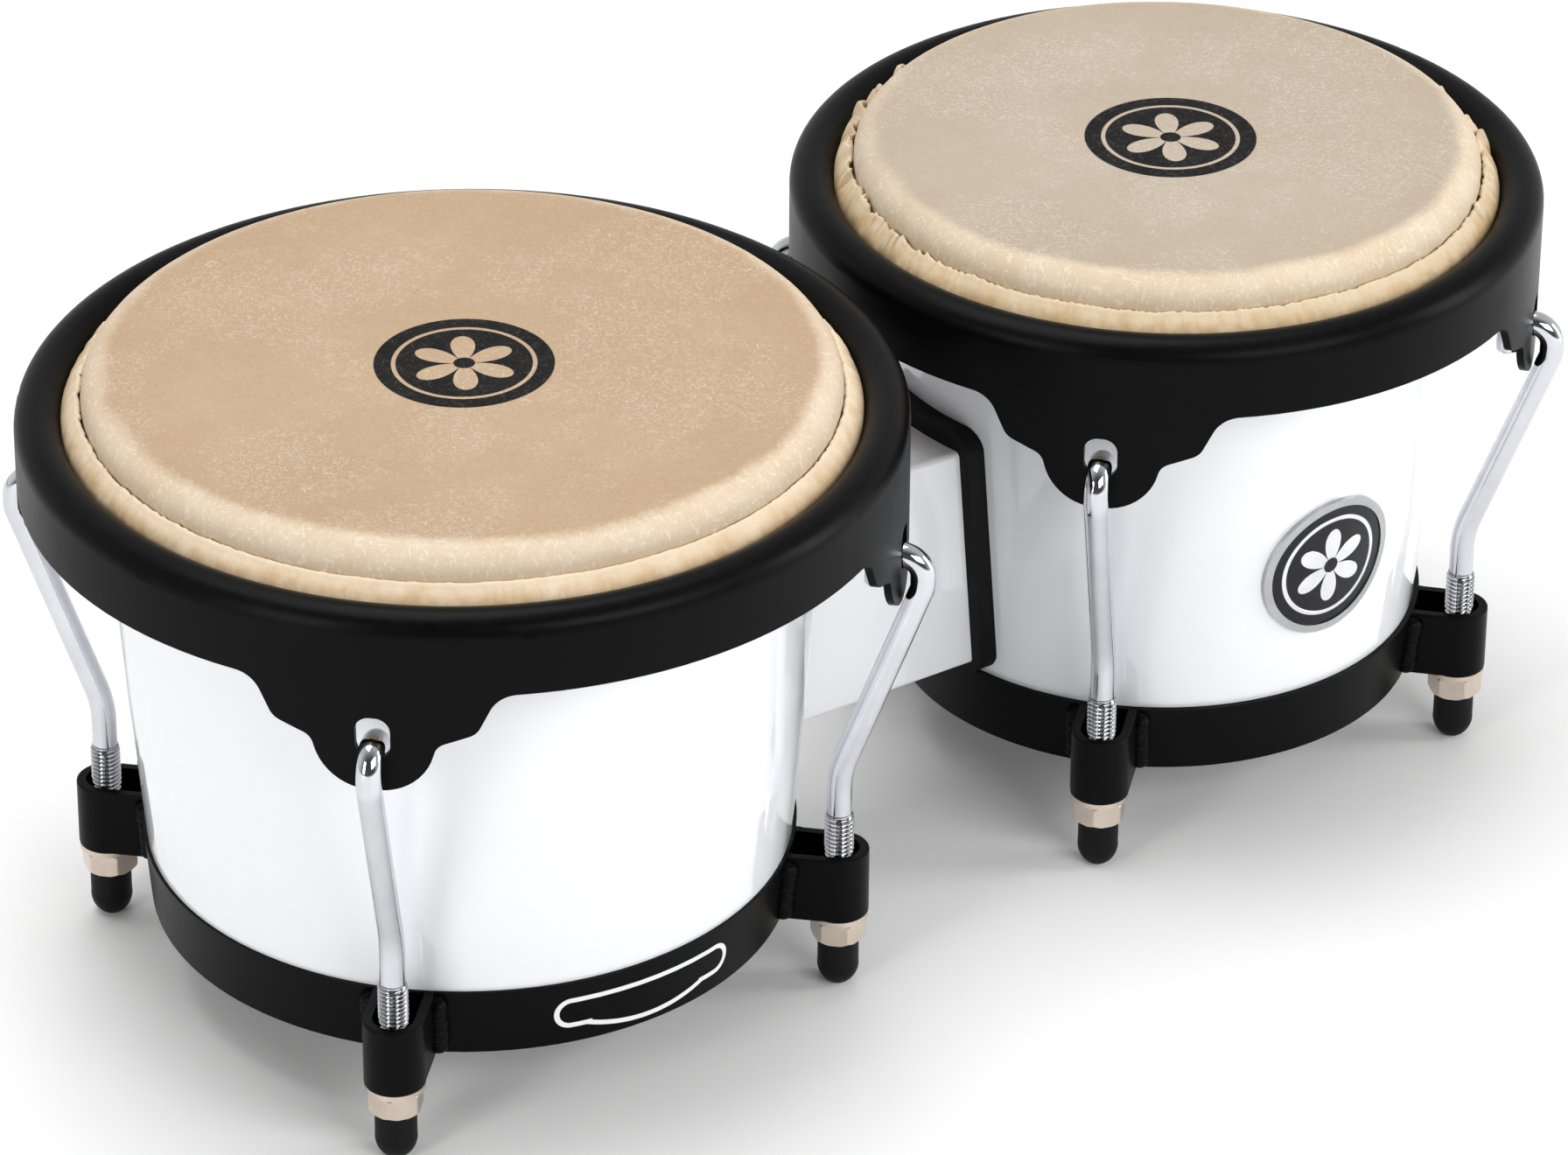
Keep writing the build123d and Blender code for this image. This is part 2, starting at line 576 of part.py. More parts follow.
def through_bolt(height: float) -> Part:
    """A domed bolt from inside the large drum to inside the small one."""
    head_face = CENTRE[LARGE.name] + saddle_face(LARGE, height) - FACE_GAP
    nut_face = CENTRE[SMALL.name] - saddle_face(SMALL, height) + FACE_GAP
    head = along_x(BOLT_HEAD_RADIUS, head_face - BOLT_HEAD_HEIGHT, head_face, height)
    rims = head.edges().filter_by(GeomType.CIRCLE).sort_by(Axis.X)
    head = head.fillet(BOLT_HEAD_ROUND, rims[:1])
    shank = along_x(BOLT_RADIUS, head_face - 1, nut_face + LOCKNUT_HEIGHT + BOLT_END, height)
    return head + shank


def locknut(height: float) -> Part:
    """The nut on a through bolt, inside the small drum."""
    face = CENTRE[SMALL.name] - saddle_face(SMALL, height) + FACE_GAP
    hexagon = RegularPolygon(NUT_ACROSS_FLATS / 2, 6, major_radius=False)
    blank = extrude(Plane.YZ.offset(face) * Pos(0, height) * hexagon, LOCKNUT_HEIGHT)
    turning = along_x(NUT_CORNER_RADIUS, face, face + LOCKNUT_HEIGHT, height)
    turning = turning.chamfer(NUT_CHAMFER, None, turning.edges().filter_by(GeomType.CIRCLE))
    return (blank & turning) - along_x(BOLT_RADIUS + NUT_CLEARANCE, face - 1, face + REACH / 4, height)


def badge_layer(thickness: float, radius: float) -> Part:
    """A round patch of the small drum's wall, of a given thickness."""
    low, high = BADGE_HEIGHT - 2 * BADGE_RADIUS, BADGE_HEIGHT + 2 * BADGE_RADIUS
    layer = cone(SMALL, thickness, low, high) - cone(SMALL, FACE_GAP, low - 1, high + 1)
    return layer & extrude(radial_plane(BADGE_ANGLE) * Pos(0, BADGE_HEIGHT) * Circle(radius), REACH / 2)


def badge_ring() -> Part:
    """The raised ring round the badge."""
    bore = extrude(
        radial_plane(BADGE_ANGLE) * Pos(0, BADGE_HEIGHT) * Circle(BADGE_RADIUS - BADGE_RING_WIDTH), REACH / 2
    )
    return badge_layer(BADGE_RING_THICKNESS, BADGE_RADIUS) - bore


def badge_disc() -> Part:
    """The badge's plain face, inside its ring."""
    return badge_layer(BADGE_DISC_THICKNESS, BADGE_RADIUS - BADGE_RING_WIDTH - FACE_GAP)


# ---------------------------------------------------------------- the whole pair
def drum_pieces(drum: Drum) -> dict:
    """Every piece of one drum, by its node's name."""
    name = drum.name
    angles = lug_angles(drum)
    cup, beads = bracket(drum), weld_beads(drum)
    hook, foot, hexagon = tuning_hook(drum), rubber_foot(), nut()
    on_lug = Pos(drum.lug, 0, 0)
    pieces = {
        f"{name}_shell": shell(drum),
        f"{name}_head": head(drum),
        f"{name}_head_collar": head_collar(drum),
        f"{name}_skin_tuck": skin_tuck(drum),
        f"{name}_flesh_hoop": flesh_hoop(drum),
        f"{name}_rim": rim(drum),
        f"{name}_bottom_ring": bottom_ring(drum),
        f"{name}_lug_brackets": Compound([Rot(0, 0, angle) * cup for angle in angles]),
        f"{name}_weld_beads": Compound([Rot(0, 0, angle) * bead for angle in angles for bead in beads]),
        f"{name}_washers": Compound([Rot(0, 0, angle) * on_lug * washer() for angle in angles]),
        f"{name}_gasket": gasket(drum),
        f"{name}_backing_plate": backing_plate(drum),
        f"{name}_bolt_saddles": Compound(saddles(drum)),
    }
    for number, angle in enumerate(angles, start=1):
        turn = Rot(0, 0, angle)
        pieces[f"{name}_hook_{number}"] = turn * hook
        pieces[f"{name}_nut_{number}"] = turn * on_lug * hexagon
        pieces[f"{name}_foot_{number}"] = turn * on_lug * foot
    return {node: in_place(drum, piece) for node, piece in pieces.items()}


def all_pieces() -> dict:
    """Every piece of the pair, by its node's name."""
    return {
        **drum_pieces(LARGE),
        **drum_pieces(SMALL),
        "joining_block": joining_block(),
        "through_bolts": Compound([through_bolt(z) for z in BOLT_HEIGHTS]),
        "bolt_locknuts": Compound([locknut(z) for z in BOLT_HEIGHTS]),
        "badge_ring": in_place(SMALL, badge_ring()),
        "badge_disc": in_place(SMALL, badge_disc()),
    }


def main() -> None:
    """Builds the pair and writes one STEP file for each piece."""
    os.makedirs("parts", exist_ok=True)
    for node, piece in all_pieces().items():
        export_step(piece, f"parts/{node}.step")


main()
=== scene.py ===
"""Looks for a pair of bongo drums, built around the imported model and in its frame, in metres.

The larger drum stands on -X and the smaller on +X, with +Z up. Skins, laps, tuning hooks and weld
beads are modelled here. The other nodes keep their shape and get their finish here.
"""

from __future__ import annotations

import json
import logging
from collections.abc import Callable, Sequence
from dataclasses import dataclass, field
from enum import Enum
from math import atan2, cos, degrees, hypot, pi, radians, sin, sqrt, tan

import bpy
from mathutils import Matrix, Vector, noise


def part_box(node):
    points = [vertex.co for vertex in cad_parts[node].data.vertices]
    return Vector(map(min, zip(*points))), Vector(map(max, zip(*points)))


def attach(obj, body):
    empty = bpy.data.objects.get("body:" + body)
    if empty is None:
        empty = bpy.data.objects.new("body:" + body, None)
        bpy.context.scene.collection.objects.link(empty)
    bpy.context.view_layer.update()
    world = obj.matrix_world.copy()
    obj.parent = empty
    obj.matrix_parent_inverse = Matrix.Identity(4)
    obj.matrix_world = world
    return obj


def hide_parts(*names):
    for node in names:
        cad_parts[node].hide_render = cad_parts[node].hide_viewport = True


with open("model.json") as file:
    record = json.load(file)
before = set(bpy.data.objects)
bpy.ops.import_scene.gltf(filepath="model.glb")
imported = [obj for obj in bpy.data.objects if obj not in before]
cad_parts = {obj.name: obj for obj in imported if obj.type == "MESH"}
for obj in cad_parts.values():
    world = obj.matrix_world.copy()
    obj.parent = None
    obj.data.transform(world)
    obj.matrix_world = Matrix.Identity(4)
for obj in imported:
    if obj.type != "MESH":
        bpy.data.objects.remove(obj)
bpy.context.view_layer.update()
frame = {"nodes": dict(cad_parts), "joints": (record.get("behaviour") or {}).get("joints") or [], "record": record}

LOG = logging.getLogger("bongos")
Colour = tuple[float, float, float]
Point = tuple[float, float]
Socket = bpy.types.NodeSocket
MM = 0.001
GROOVE = "groove"


# ---------------------------------------------------------------- node trees
class Board:
    """Adds and links the nodes of one tree."""

    def __init__(self, tree: bpy.types.NodeTree) -> None:
        """Starts on an empty or cleared tree."""
        self.tree = tree

    def add(self, kind: str, inputs: dict | None = None, **settings: object) -> bpy.types.Node:
        """Adds a node.

        Args:
            kind: The node's type name.
            inputs: Values or output sockets for its inputs, by name or index.
            settings: The node's own properties.

        Returns:
            The new node.
        """
        node = self.tree.nodes.new(kind)
        for name, value in settings.items():
            setattr(node, name, value)
        for name, value in (inputs or {}).items():
            self.feed(node.inputs[name], value)
        return node

    def feed(self, socket: Socket, value: object) -> None:
        """Sets an input to a value, or links it to an output socket."""
        if isinstance(value, Socket):
            self.tree.links.new(value, socket)
        else:
            socket.default_value = value

    def math(self, operation: str, *values: object, clamp: bool = False) -> Socket:
        """Adds a Math node and returns its result."""
        node = self.add("ShaderNodeMath", dict(enumerate(values)), operation=operation, use_clamp=clamp)
        return node.outputs[0]

    def ramp(self, value: object, low: object, high: object, start: float = 0.0, end: float = 1.0) -> Socket:
        """Maps a value smoothly from one range to another.

        Args:
            value: The value to map.
            low: Where the ramp begins.
            high: Where it ends.
            start: The result at its beginning.
            end: The result at its end.

        Returns:
            The mapped value.
        """
        inputs = {0: value, 1: low, 2: high, 3: start, 4: end}
        return self.add("ShaderNodeMapRange", inputs, interpolation_type="SMOOTHSTEP").outputs[0]

    def mix(self, factor: object, first: object, second: object, blend: str = "MIX") -> Socket:
        """Mixes two colours and returns the result."""
        inputs = {0: factor, 6: rgba(first), 7: rgba(second)}
        return self.add("ShaderNodeMix", inputs, data_type="RGBA", blend_type=blend).outputs[2]

    def noise(self, vector: object, scale: object, detail: float = 3.0, roughness: float = 0.55) -> Socket:
        """Adds a noise texture and returns its value."""
        inputs = {"Vector": vector, "Scale": scale, "Detail": detail, "Roughness": roughness}
        return self.add("ShaderNodeTexNoise", inputs).outputs[0]

    def length(self, x: object, y: object) -> Socket:
        """Adds nodes for the length of a flat vector and returns it."""
        return self.math("SQRT", self.math("ADD", self.math("MULTIPLY", x, x), self.math("MULTIPLY", y, y)))

    def facing_axes(self, place: object, centre: Sequence[float], facing: float) -> Sequence[Socket]:
        """Splits coordinates that start at a centre and are turned to a direction.

        Args:
            place: The coordinates.
            centre: Where they start.
            facing: The direction of their first axis, in degrees.

        Returns:
            The coordinates along the three turned axes.
        """
        shift = tuple(-c for c in centre)
        moved = self.add("ShaderNodeMapping", {"Vector": place, "Location": shift}).outputs[0]
        inputs = {"Vector": moved, "Angle": -radians(facing)}
        turned = self.add("ShaderNodeVectorRotate", inputs, rotation_type="Z_AXIS").outputs[0]
        return self.add("ShaderNodeSeparateXYZ", {0: turned}).outputs


def scaled(colour: Colour, factors: Colour) -> Colour:
    """A colour with each of its channels scaled."""
    return tuple(c * k for c, k in zip(colour, factors))


def rgba(value: object) -> object:
    """A colour with its alpha added, or a socket as it is."""
    return (*value, 1.0) if isinstance(value, tuple) and len(value) == 3 else value


class Effect(Enum):
    """Surface effects that several finishes share, each one node group."""

    BLOTCHES = "soft_blotches"
    GRAIN = "fine_grain"
    FIBRES = "skin_fibres"
    DUST = "settled_dust"


class Effects:
    """Builds each shared effect once and places it in materials."""

    FIBRE_TURNS = (0.35, 1.45, 2.5)

    def __init__(self) -> None:
        """Builds the groups."""
        self.groups = {
            Effect.BLOTCHES: self._blotches(),
            Effect.GRAIN: self._grain(),
            Effect.FIBRES: self._fibres(),
            Effect.DUST: self._dust(),
        }

    def _group(
        self, effect: Effect, inputs: dict[str, object], outputs: dict[str, str]
    ) -> tuple[Board, bpy.types.Node, bpy.types.Node]:
        """Starts a group.

        Args:
            effect: The effect it is for.
            inputs: Its inputs' names and default values; None stands for a vector with no default.
            outputs: Its outputs' names and socket types.

        Returns:
            The board, the group's input node and its output node.
        """
        tree = bpy.data.node_groups.new(effect.value, "ShaderNodeTree")
        for name, value in inputs.items():
            kind = "NodeSocketVector" if value is None else "NodeSocketFloat"
            socket = tree.interface.new_socket(name, in_out="INPUT", socket_type=kind)
            if value is not None:
                socket.default_value = value
        for name, kind in outputs.items():
            tree.interface.new_socket(name, in_out="OUTPUT", socket_type=kind)
        board = Board(tree)
        return board, board.add("NodeGroupInput"), board.add("NodeGroupOutput")

    def _blotches(self) -> bpy.types.NodeTree:
        """Large soft patches, for uneven tone and gloss."""
        inputs = {"Vector": None, "Scale": 20.0, "Contrast": 1.0}
        board, start, end = self._group(Effect.BLOTCHES, inputs, {"Value": "NodeSocketFloat"})
        value = board.noise(start.outputs["Vector"], start.outputs["Scale"], 4.0, 0.6)
        centred = board.math("SUBTRACT", value, 0.5)
        gain = board.math("MULTIPLY", start.outputs["Contrast"], 2.4)
        spread = board.math("MULTIPLY_ADD", centred, gain, 0.5)
        board.feed(end.inputs["Value"], board.math("MAXIMUM", board.math("MINIMUM", spread, 1.0), 0.0))
        return board.tree

    def _grain(self) -> bpy.types.NodeTree:
        """A fine bumpy skin, such as powder coat or moulded rubber."""
        inputs = {"Vector": None, "Scale": 900.0, "Strength": 0.2, "Depth": 0.0001}
        outputs = {"Value": "NodeSocketFloat", "Normal": "NodeSocketVector"}
        board, start, end = self._group(Effect.GRAIN, inputs, outputs)
        value = board.noise(start.outputs["Vector"], start.outputs["Scale"], 2.0, 0.5)
        bump = {"Strength": start.outputs["Strength"], "Distance": start.outputs["Depth"], "Height": value}
        board.feed(end.inputs["Value"], value)
        board.feed(end.inputs["Normal"], board.add("ShaderNodeBump", bump).outputs[0])
        return board.tree

    def _fibres(self) -> bpy.types.NodeTree:
        """Short pale fibres that lie in all directions, as in scraped hide."""
        inputs = {"Vector": None, "Scale": 260.0, "Stretch": 5.0, "Sharpness": 0.5}
        board, start, end = self._group(Effect.FIBRES, inputs, {"Value": "NodeSocketFloat"})
        layers = []
        scales = {0: start.outputs["Stretch"], 1: 1.0, 2: 1.0}
        squeeze = board.add("ShaderNodeCombineXYZ", scales).outputs[0]
        threshold = board.math("MULTIPLY_ADD", start.outputs["Sharpness"], 0.1, 0.54)
        for turn in self.FIBRE_TURNS:
            lying = {"Vector": start.outputs["Vector"], "Angle": turn}
            turned = board.add("ShaderNodeVectorRotate", lying, rotation_type="Z_AXIS").outputs[0]
            stretched = board.add("ShaderNodeVectorMath", {0: turned, 1: squeeze}, operation="MULTIPLY")
            value = board.noise(stretched.outputs[0], start.outputs["Scale"], 3.0, 0.65)
            layers.append(board.ramp(value, threshold, board.math("ADD", threshold, 0.07)))
        top = board.math("MAXIMUM", board.math("MAXIMUM", layers[0], layers[1]), layers[2])
        board.feed(end.inputs["Value"], top)
        return board.tree

    def _dust(self) -> bpy.types.NodeTree:
        """A mask that is stronger on faces that look up, broken by fine noise."""
        inputs = {"Vector": None, "Scale": 300.0, "Amount": 0.2}
        board, start, end = self._group(Effect.DUST, inputs, {"Mask": "NodeSocketFloat"})
        normal = board.add("ShaderNodeNewGeometry").outputs["Normal"]
        up = board.add("ShaderNodeSeparateXYZ", {0: normal}).outputs[2]
        facing = board.ramp(up, 0.3, 1.0)
        fine = board.noise(start.outputs["Vector"], start.outputs["Scale"], 5.0, 0.7)
        settled = board.math("MULTIPLY", facing, board.ramp(fine, 0.42, 0.75))
        board.feed(end.inputs["Mask"], board.math("MULTIPLY", settled, start.outputs["Amount"]))
        return board.tree

    def place(self, board: Board, effect: Effect, inputs: dict[str, object]) -> bpy.types.Node:
        """Places an effect in a material.

        Args:
            board: The material's board.
            effect: Which effect.
            inputs: Values or sockets for its inputs, by name.

        Returns:
            The group node.
        """
        node = board.add("ShaderNodeGroup", node_tree=self.groups[effect])
        for name, value in inputs.items():
            board.feed(node.inputs[name], value)
        return node

    def value(self, board: Board, effect: Effect, vector: object, scale: float, **inputs: object) -> Socket:
        """Places an effect in a material.

        Args:
            board: The material's board.
            effect: Which effect.
            vector: Its coordinates.
            scale: Its scale.
            inputs: Values or sockets for its other inputs, by name.

        Returns:
            The effect's first output.
        """
        return self.place(board, effect, {"Vector": vector, "Scale": scale, **inputs}).outputs[0]


# ---------------------------------------------------------------- finishes
@dataclass(frozen=True)
class Finish:
    """What every finish has: a name and a way to start its material."""

    name: str

    def start(self) -> tuple[bpy.types.Material, Board, bpy.types.Node, Socket]:
        """Starts the material.

        Returns:
            The material, its board, its shader and its object coordinates.
        """
        material = bpy.data.materials.new(self.name)
        material.use_nodes = True
        board = Board(material.node_tree)
        shader = board.tree.nodes["Principled BSDF"]
        return material, board, shader, board.add("ShaderNodeTexCoord").outputs["Object"]


@dataclass(frozen=True)
class CoatedFinish(Finish):
    """Paint, lacquer or rubber: one colour with soft unevenness, fine grain and a little dust."""

    colour: Colour = (0.5, 0.5, 0.5)
    second: Colour = (0.5, 0.5, 0.5)
    gloss: Point = (0.3, 0.4)
    grain_scale: float = 900.0
    grain_depth: float = 0.00005
    grain_strength: float = 0.3
    coat: float = 0.0
    dust: float = 0.0
    dust_colour: Colour = (0.5, 0.49, 0.47)
    specular: float = 0.5

    def build(self, effects: Effects) -> bpy.types.Material:
        """Builds the material.

        Args:
            effects: The shared effects.

        Returns:
            The material.
        """
        material, board, shader, place = self.start()
        blotch = effects.value(board, Effect.BLOTCHES, place, 24.0, Contrast=1.0)
        texture = {"Scale": self.grain_scale, "Strength": self.grain_strength, "Depth": self.grain_depth}
        grain = effects.place(board, Effect.GRAIN, {"Vector": place, **texture})
        dust = effects.value(board, Effect.DUST, place, 420.0, Amount=self.dust)
        colour = board.mix(blotch, self.colour, self.second)
        board.feed(shader.inputs["Base Color"], board.mix(dust, colour, self.dust_colour))
        rough = board.ramp(blotch, 0.0, 1.0, *self.gloss)
        board.feed(shader.inputs["Roughness"], board.math("ADD", rough, board.math("MULTIPLY", dust, 0.4)))
        board.feed(shader.inputs["Normal"], grain.outputs["Normal"])
        shader.inputs["Coat Weight"].default_value = self.coat
        shader.inputs["Coat Roughness"].default_value = 0.04
        shader.inputs["Specular IOR Level"].default_value = self.specular
        return material


@dataclass(frozen=True)
class PlatedFinish(Finish):
    """Plated or bare metal, with faint smears and drawn or turned lines, and painted shade in thread grooves where
    asked.
    """

    colour: Colour = (0.8, 0.8, 0.8)
    second: Colour = (0.7, 0.7, 0.7)
    gloss: Point = (0.06, 0.14)
    line_scale: float = 1400.0
    line_strength: float = 0.05
    groove_shade_tone: float = 1.0

    def build(self, effects: Effects) -> bpy.types.Material:
        """Builds the material.

        Args:
            effects: The shared effects.

        Returns:
            The material.
        """
        material, board, shader, place = self.start()
        blotch = effects.value(board, Effect.BLOTCHES, place, 90.0, Contrast=1.2)
        flat = board.add("ShaderNodeMapping", {"Vector": place, "Scale": (0.12, 0.12, 1.0)}).outputs[0]
        grain = effects.place(
            board,
            Effect.GRAIN,
            {"Vector": flat, "Scale": self.line_scale, "Strength": self.line_strength, "Depth": 0.00004},
        )
        colour = board.mix(blotch, self.colour, self.second)
        # Painted shade: the colour is darkened in the thread's grooves, by the groove depth that the rod's tree
        # stores.
        if self.groove_shade_tone < 1.0:
            groove = board.add("ShaderNodeAttribute", attribute_name=GROOVE).outputs["Fac"]
            colour = board.mix(groove, colour, tuple(c * self.groove_shade_tone for c in self.colour))
        board.feed(shader.inputs["Base Color"], colour)
        board.feed(shader.inputs["Roughness"], board.ramp(blotch, 0.0, 1.0, *self.gloss))
        board.feed(shader.inputs["Normal"], grain.outputs["Normal"])
        shader.inputs["Metallic"].default_value = 1.0
        return material


@dataclass(frozen=True)
class Emblem:
    """A plain six-petalled flower in a ring, the generic mark on heads and badge."""

    ring: float
    ring_width: float
    petals: float
    turn: float = 0.0

    def mask(self, board: Board, across: object, along: object) -> Socket:
        """Draws the mark.

        Args:
            board: The material's board.
            across: Distance from the mark's middle along its first direction, in metres.
            along: The same along its second direction.

        Returns:
            A mask, 1 on the mark.
        """
        radius = board.length(across, along)
        angle = board.math("ADD", board.math("ARCTAN2", along, across), self.turn)
        wave = board.math("ABSOLUTE", board.math("COSINE", board.math("MULTIPLY", angle, 3.0)))
        edge = board.math("MULTIPLY", board.math("POWER", wave, 0.6), self.petals)
        soft = 0.00012
        petals = board.ramp(board.math("SUBTRACT", edge, radius), -soft, soft)
        core = board.ramp(radius, self.petals * 0.2 - soft, self.petals * 0.2 + soft)
        off_ring = board.math("ABSOLUTE", board.math("SUBTRACT", radius, self.ring))
        ring = board.ramp(off_ring, self.ring_width / 2 - soft, self.ring_width / 2 + soft, 1.0, 0.0)
        return board.math("MAXIMUM", board.math("MULTIPLY", petals, core), ring)


@dataclass(frozen=True)
class SkinFinish(Finish):
    """Scraped natural hide: warm flat, pale turned edge with painted light and shade on it, and a printed round
    mark on the flat.
    """

    centre: Point = (0.0, 0.0)
    flat_radius: float = 0.088
    tone: Colour = (0.6, 0.45, 0.3)
    tone_far: Colour = (0.6, 0.45, 0.3)
    edge: Colour = (0.85, 0.75, 0.6)
    fibre: Colour = (0.8, 0.7, 0.6)
    fibre_amount: float = 0.5
    print_radius: float = 0.0229
    print_offset: Point = (0.0, 0.0)
    top: float = 0.1765
    # Painted light: the direction in which the turned edge is palest, and how much of that paleness the far side
    # keeps as painted shade.
    lit_side: float = -100.0
    shaded_side_paleness: float = 0.3

    def build(self, effects: Effects) -> bpy.types.Material:
        """Builds the material.

        Args:
            effects: The shared effects.

        Returns:
            The material.
        """
        material, board, shader, place = self.start()
        shift = (-self.centre[0], -self.centre[1], 0.0)
        local = board.add("ShaderNodeMapping", {"Vector": place, "Location": shift}).outputs[0]
        x, y, z = board.add("ShaderNodeSeparateXYZ", {0: local}).outputs
        radius = board.length(x, y)
        blotch = effects.value(board, Effect.BLOTCHES, local, 16.0, Contrast=1.1)
        mottle = effects.value(board, Effect.BLOTCHES, local, 95.0, Contrast=1.3)
        long_fibres = effects.value(board, Effect.FIBRES, local, 300.0, Stretch=4.5, Sharpness=0.55)
        short_fibres = effects.value(board, Effect.FIBRES, local, 900.0, Stretch=2.4, Sharpness=0.35)
        flat = board.mix(blotch, self.tone, self.tone_far)
        dark = scaled(self.tone, (0.88, 0.83, 0.76))
        flat = board.mix(board.math("MULTIPLY", mottle, 0.4), flat, dark)
        rim_warm = board.ramp(radius, self.flat_radius - 0.03, self.flat_radius, 0.0, 0.45)
        flat = board.mix(rim_warm, flat, dark)
        strong, weak = board.math("MULTIPLY", long_fibres, 0.9), board.math("MULTIPLY", short_fibres, 0.6)
        fibres = board.math("MAXIMUM", strong, weak)
        crowd = effects.value(board, Effect.BLOTCHES, local, 30.0, Contrast=1.6)
        crowd = board.ramp(crowd, 0.25, 0.8, 0.35, 1.0)
        fibres = board.math("MULTIPLY", board.math("MULTIPLY", fibres, crowd), self.fibre_amount)
        flat = board.mix(fibres, flat, self.fibre)
        wander = board.math("MULTIPLY", board.math("SUBTRACT", board.noise(local, 42.0, 4.0), 0.5), 0.006)
        frayed = board.math("MULTIPLY", board.math("SUBTRACT", board.noise(local, 700.0, 3.0), 0.5), 0.0022)
        reach = board.math("ADD", radius, board.math("ADD", wander, frayed))
        turned = board.ramp(reach, self.flat_radius - 0.0016, self.flat_radius + 0.0028)
        # Painted light and shade: the turned edge keeps its full paleness on the side toward the front lamps and
        # only part of it on the far side.
        side = (cos(radians(self.lit_side)), sin(radians(self.lit_side)), 0.0)
        facing = board.add("ShaderNodeVectorMath", {0: local, 1: side}, operation="DOT_PRODUCT")
        toward = board.math("DIVIDE", facing.outputs["Value"], radius)
        share = board.ramp(toward, -0.35, 0.75, self.shaded_side_paleness, 1.0)
        turned = board.math("MULTIPLY", turned, share)
        edge_dark = scaled(self.edge, (0.93, 0.88, 0.8))
        edge_deep = scaled(self.edge, (0.9, 0.82, 0.7))
        edge_pale = scaled(self.edge, (1.18, 1.24, 1.32))
        edge = board.mix(mottle, self.edge, edge_dark)
        # Painted shade: the turned edge darkens lower down, where it turns into the gap beside the lap and rim.
        low = board.ramp(z, self.top - 0.012, self.top - 0.004, 0.55, 0.0)
        edge = board.mix(low, edge, scaled(self.edge, (0.86, 0.78, 0.66)))
        edge = board.mix(board.math("MULTIPLY", short_fibres, 0.5), edge, edge_deep)
        edge = board.mix(board.math("MULTIPLY", long_fibres, 0.6), edge, edge_pale)
        colour = board.mix(turned, flat, edge)
        across = board.math("SUBTRACT", x, self.print_offset[0])
        along = board.math("SUBTRACT", y, self.print_offset[1])
        away = board.length(across, along)
        ink = board.ramp(away, self.print_radius - 0.0002, self.print_radius + 0.0001, 1.0, 0.0)
        above = board.math("GREATER_THAN", z, self.top - 0.001)
        ink = board.math("MULTIPLY", ink, above)
        mark = Emblem(self.print_radius * 0.78, 0.0011, self.print_radius * 0.6).mask(board, across, along)
        ink = board.math("MULTIPLY", ink, board.math("SUBTRACT", 1.0, mark))
        worn = board.math("SUBTRACT", 1.0, board.math("MULTIPLY", long_fibres, 0.07))
        colour = board.mix(board.math("MULTIPLY", ink, worn), colour, (0.006, 0.006, 0.006))
        board.feed(shader.inputs["Base Color"], colour)
        rough = board.ramp(mottle, 0.0, 1.0, 0.52, 0.66)
        board.feed(shader.inputs["Roughness"], rough)
        board.feed(shader.inputs["Specular IOR Level"], board.math("MULTIPLY_ADD", ink, -0.25, 0.35))
        raised, fuzz = board.math("MULTIPLY", long_fibres, 0.5), board.math("MULTIPLY", short_fibres, 0.35)
        height = board.math("ADD", board.math("ADD", raised, fuzz), board.math("MULTIPLY", mottle, 0.8))
        bump = board.add("ShaderNodeBump", {"Strength": 0.32, "Distance": 0.00012, "Height": height})
        board.feed(shader.inputs["Normal"], bump.outputs[0])
        return material


@dataclass(frozen=True)
class LapFinish(Finish):
    """The hide's end that stands beside the edge: amber, pulled into upright streaks, pale at the cut."""

    centre: Point = (0.0, 0.0)
    tone: Colour = (0.6, 0.44, 0.26)
    pale: Colour = (0.85, 0.74, 0.58)
    cut_level: float = 0.168
    low_level: float = 0.163

    def build(self, effects: Effects) -> bpy.types.Material:
        """Builds the material.

        Args:
            effects: The shared effects.

        Returns:
            The material.
        """
        material, board, shader, place = self.start()
        shift = (-self.centre[0], -self.centre[1], 0.0)
        drawn_up = {"Vector": place, "Location": shift, "Scale": (1.0, 1.0, 0.16)}
        local = board.add("ShaderNodeMapping", drawn_up).outputs[0]
        z = board.add("ShaderNodeSeparateXYZ", {0: place}).outputs[2]
        streaks = board.ramp(board.noise(local, 330.0, 5.0, 0.65), 0.36, 0.66)
        patches = effects.value(board, Effect.BLOTCHES, local, 70.0, Contrast=1.5)
        colour = board.mix(board.math("MULTIPLY", patches, 0.65), self.tone, self.pale)
        deep = scaled(self.tone, (0.8, 0.7, 0.55))
        colour = board.mix(board.math("MULTIPLY", streaks, 0.45), colour, deep)
        wander = board.math("MULTIPLY", board.math("SUBTRACT", board.noise(local, 160.0, 3.0), 0.5), 0.004)
        high = board.ramp(board.math("ADD", z, wander), self.low_level, self.cut_level, 0.0, 0.85)
        colour = board.mix(high, colour, self.pale)
        board.feed(shader.inputs["Base Color"], colour)
        board.feed(shader.inputs["Roughness"], board.ramp(streaks, 0.0, 1.0, 0.42, 0.6))
        height = board.math("ADD", streaks, board.math("MULTIPLY", board.noise(place, 1500.0, 2.0), 0.4))
        bump = board.add("ShaderNodeBump", {"Strength": 0.4, "Distance": 0.00018, "Height": height})
        board.feed(shader.inputs["Normal"], bump.outputs[0])
        return material


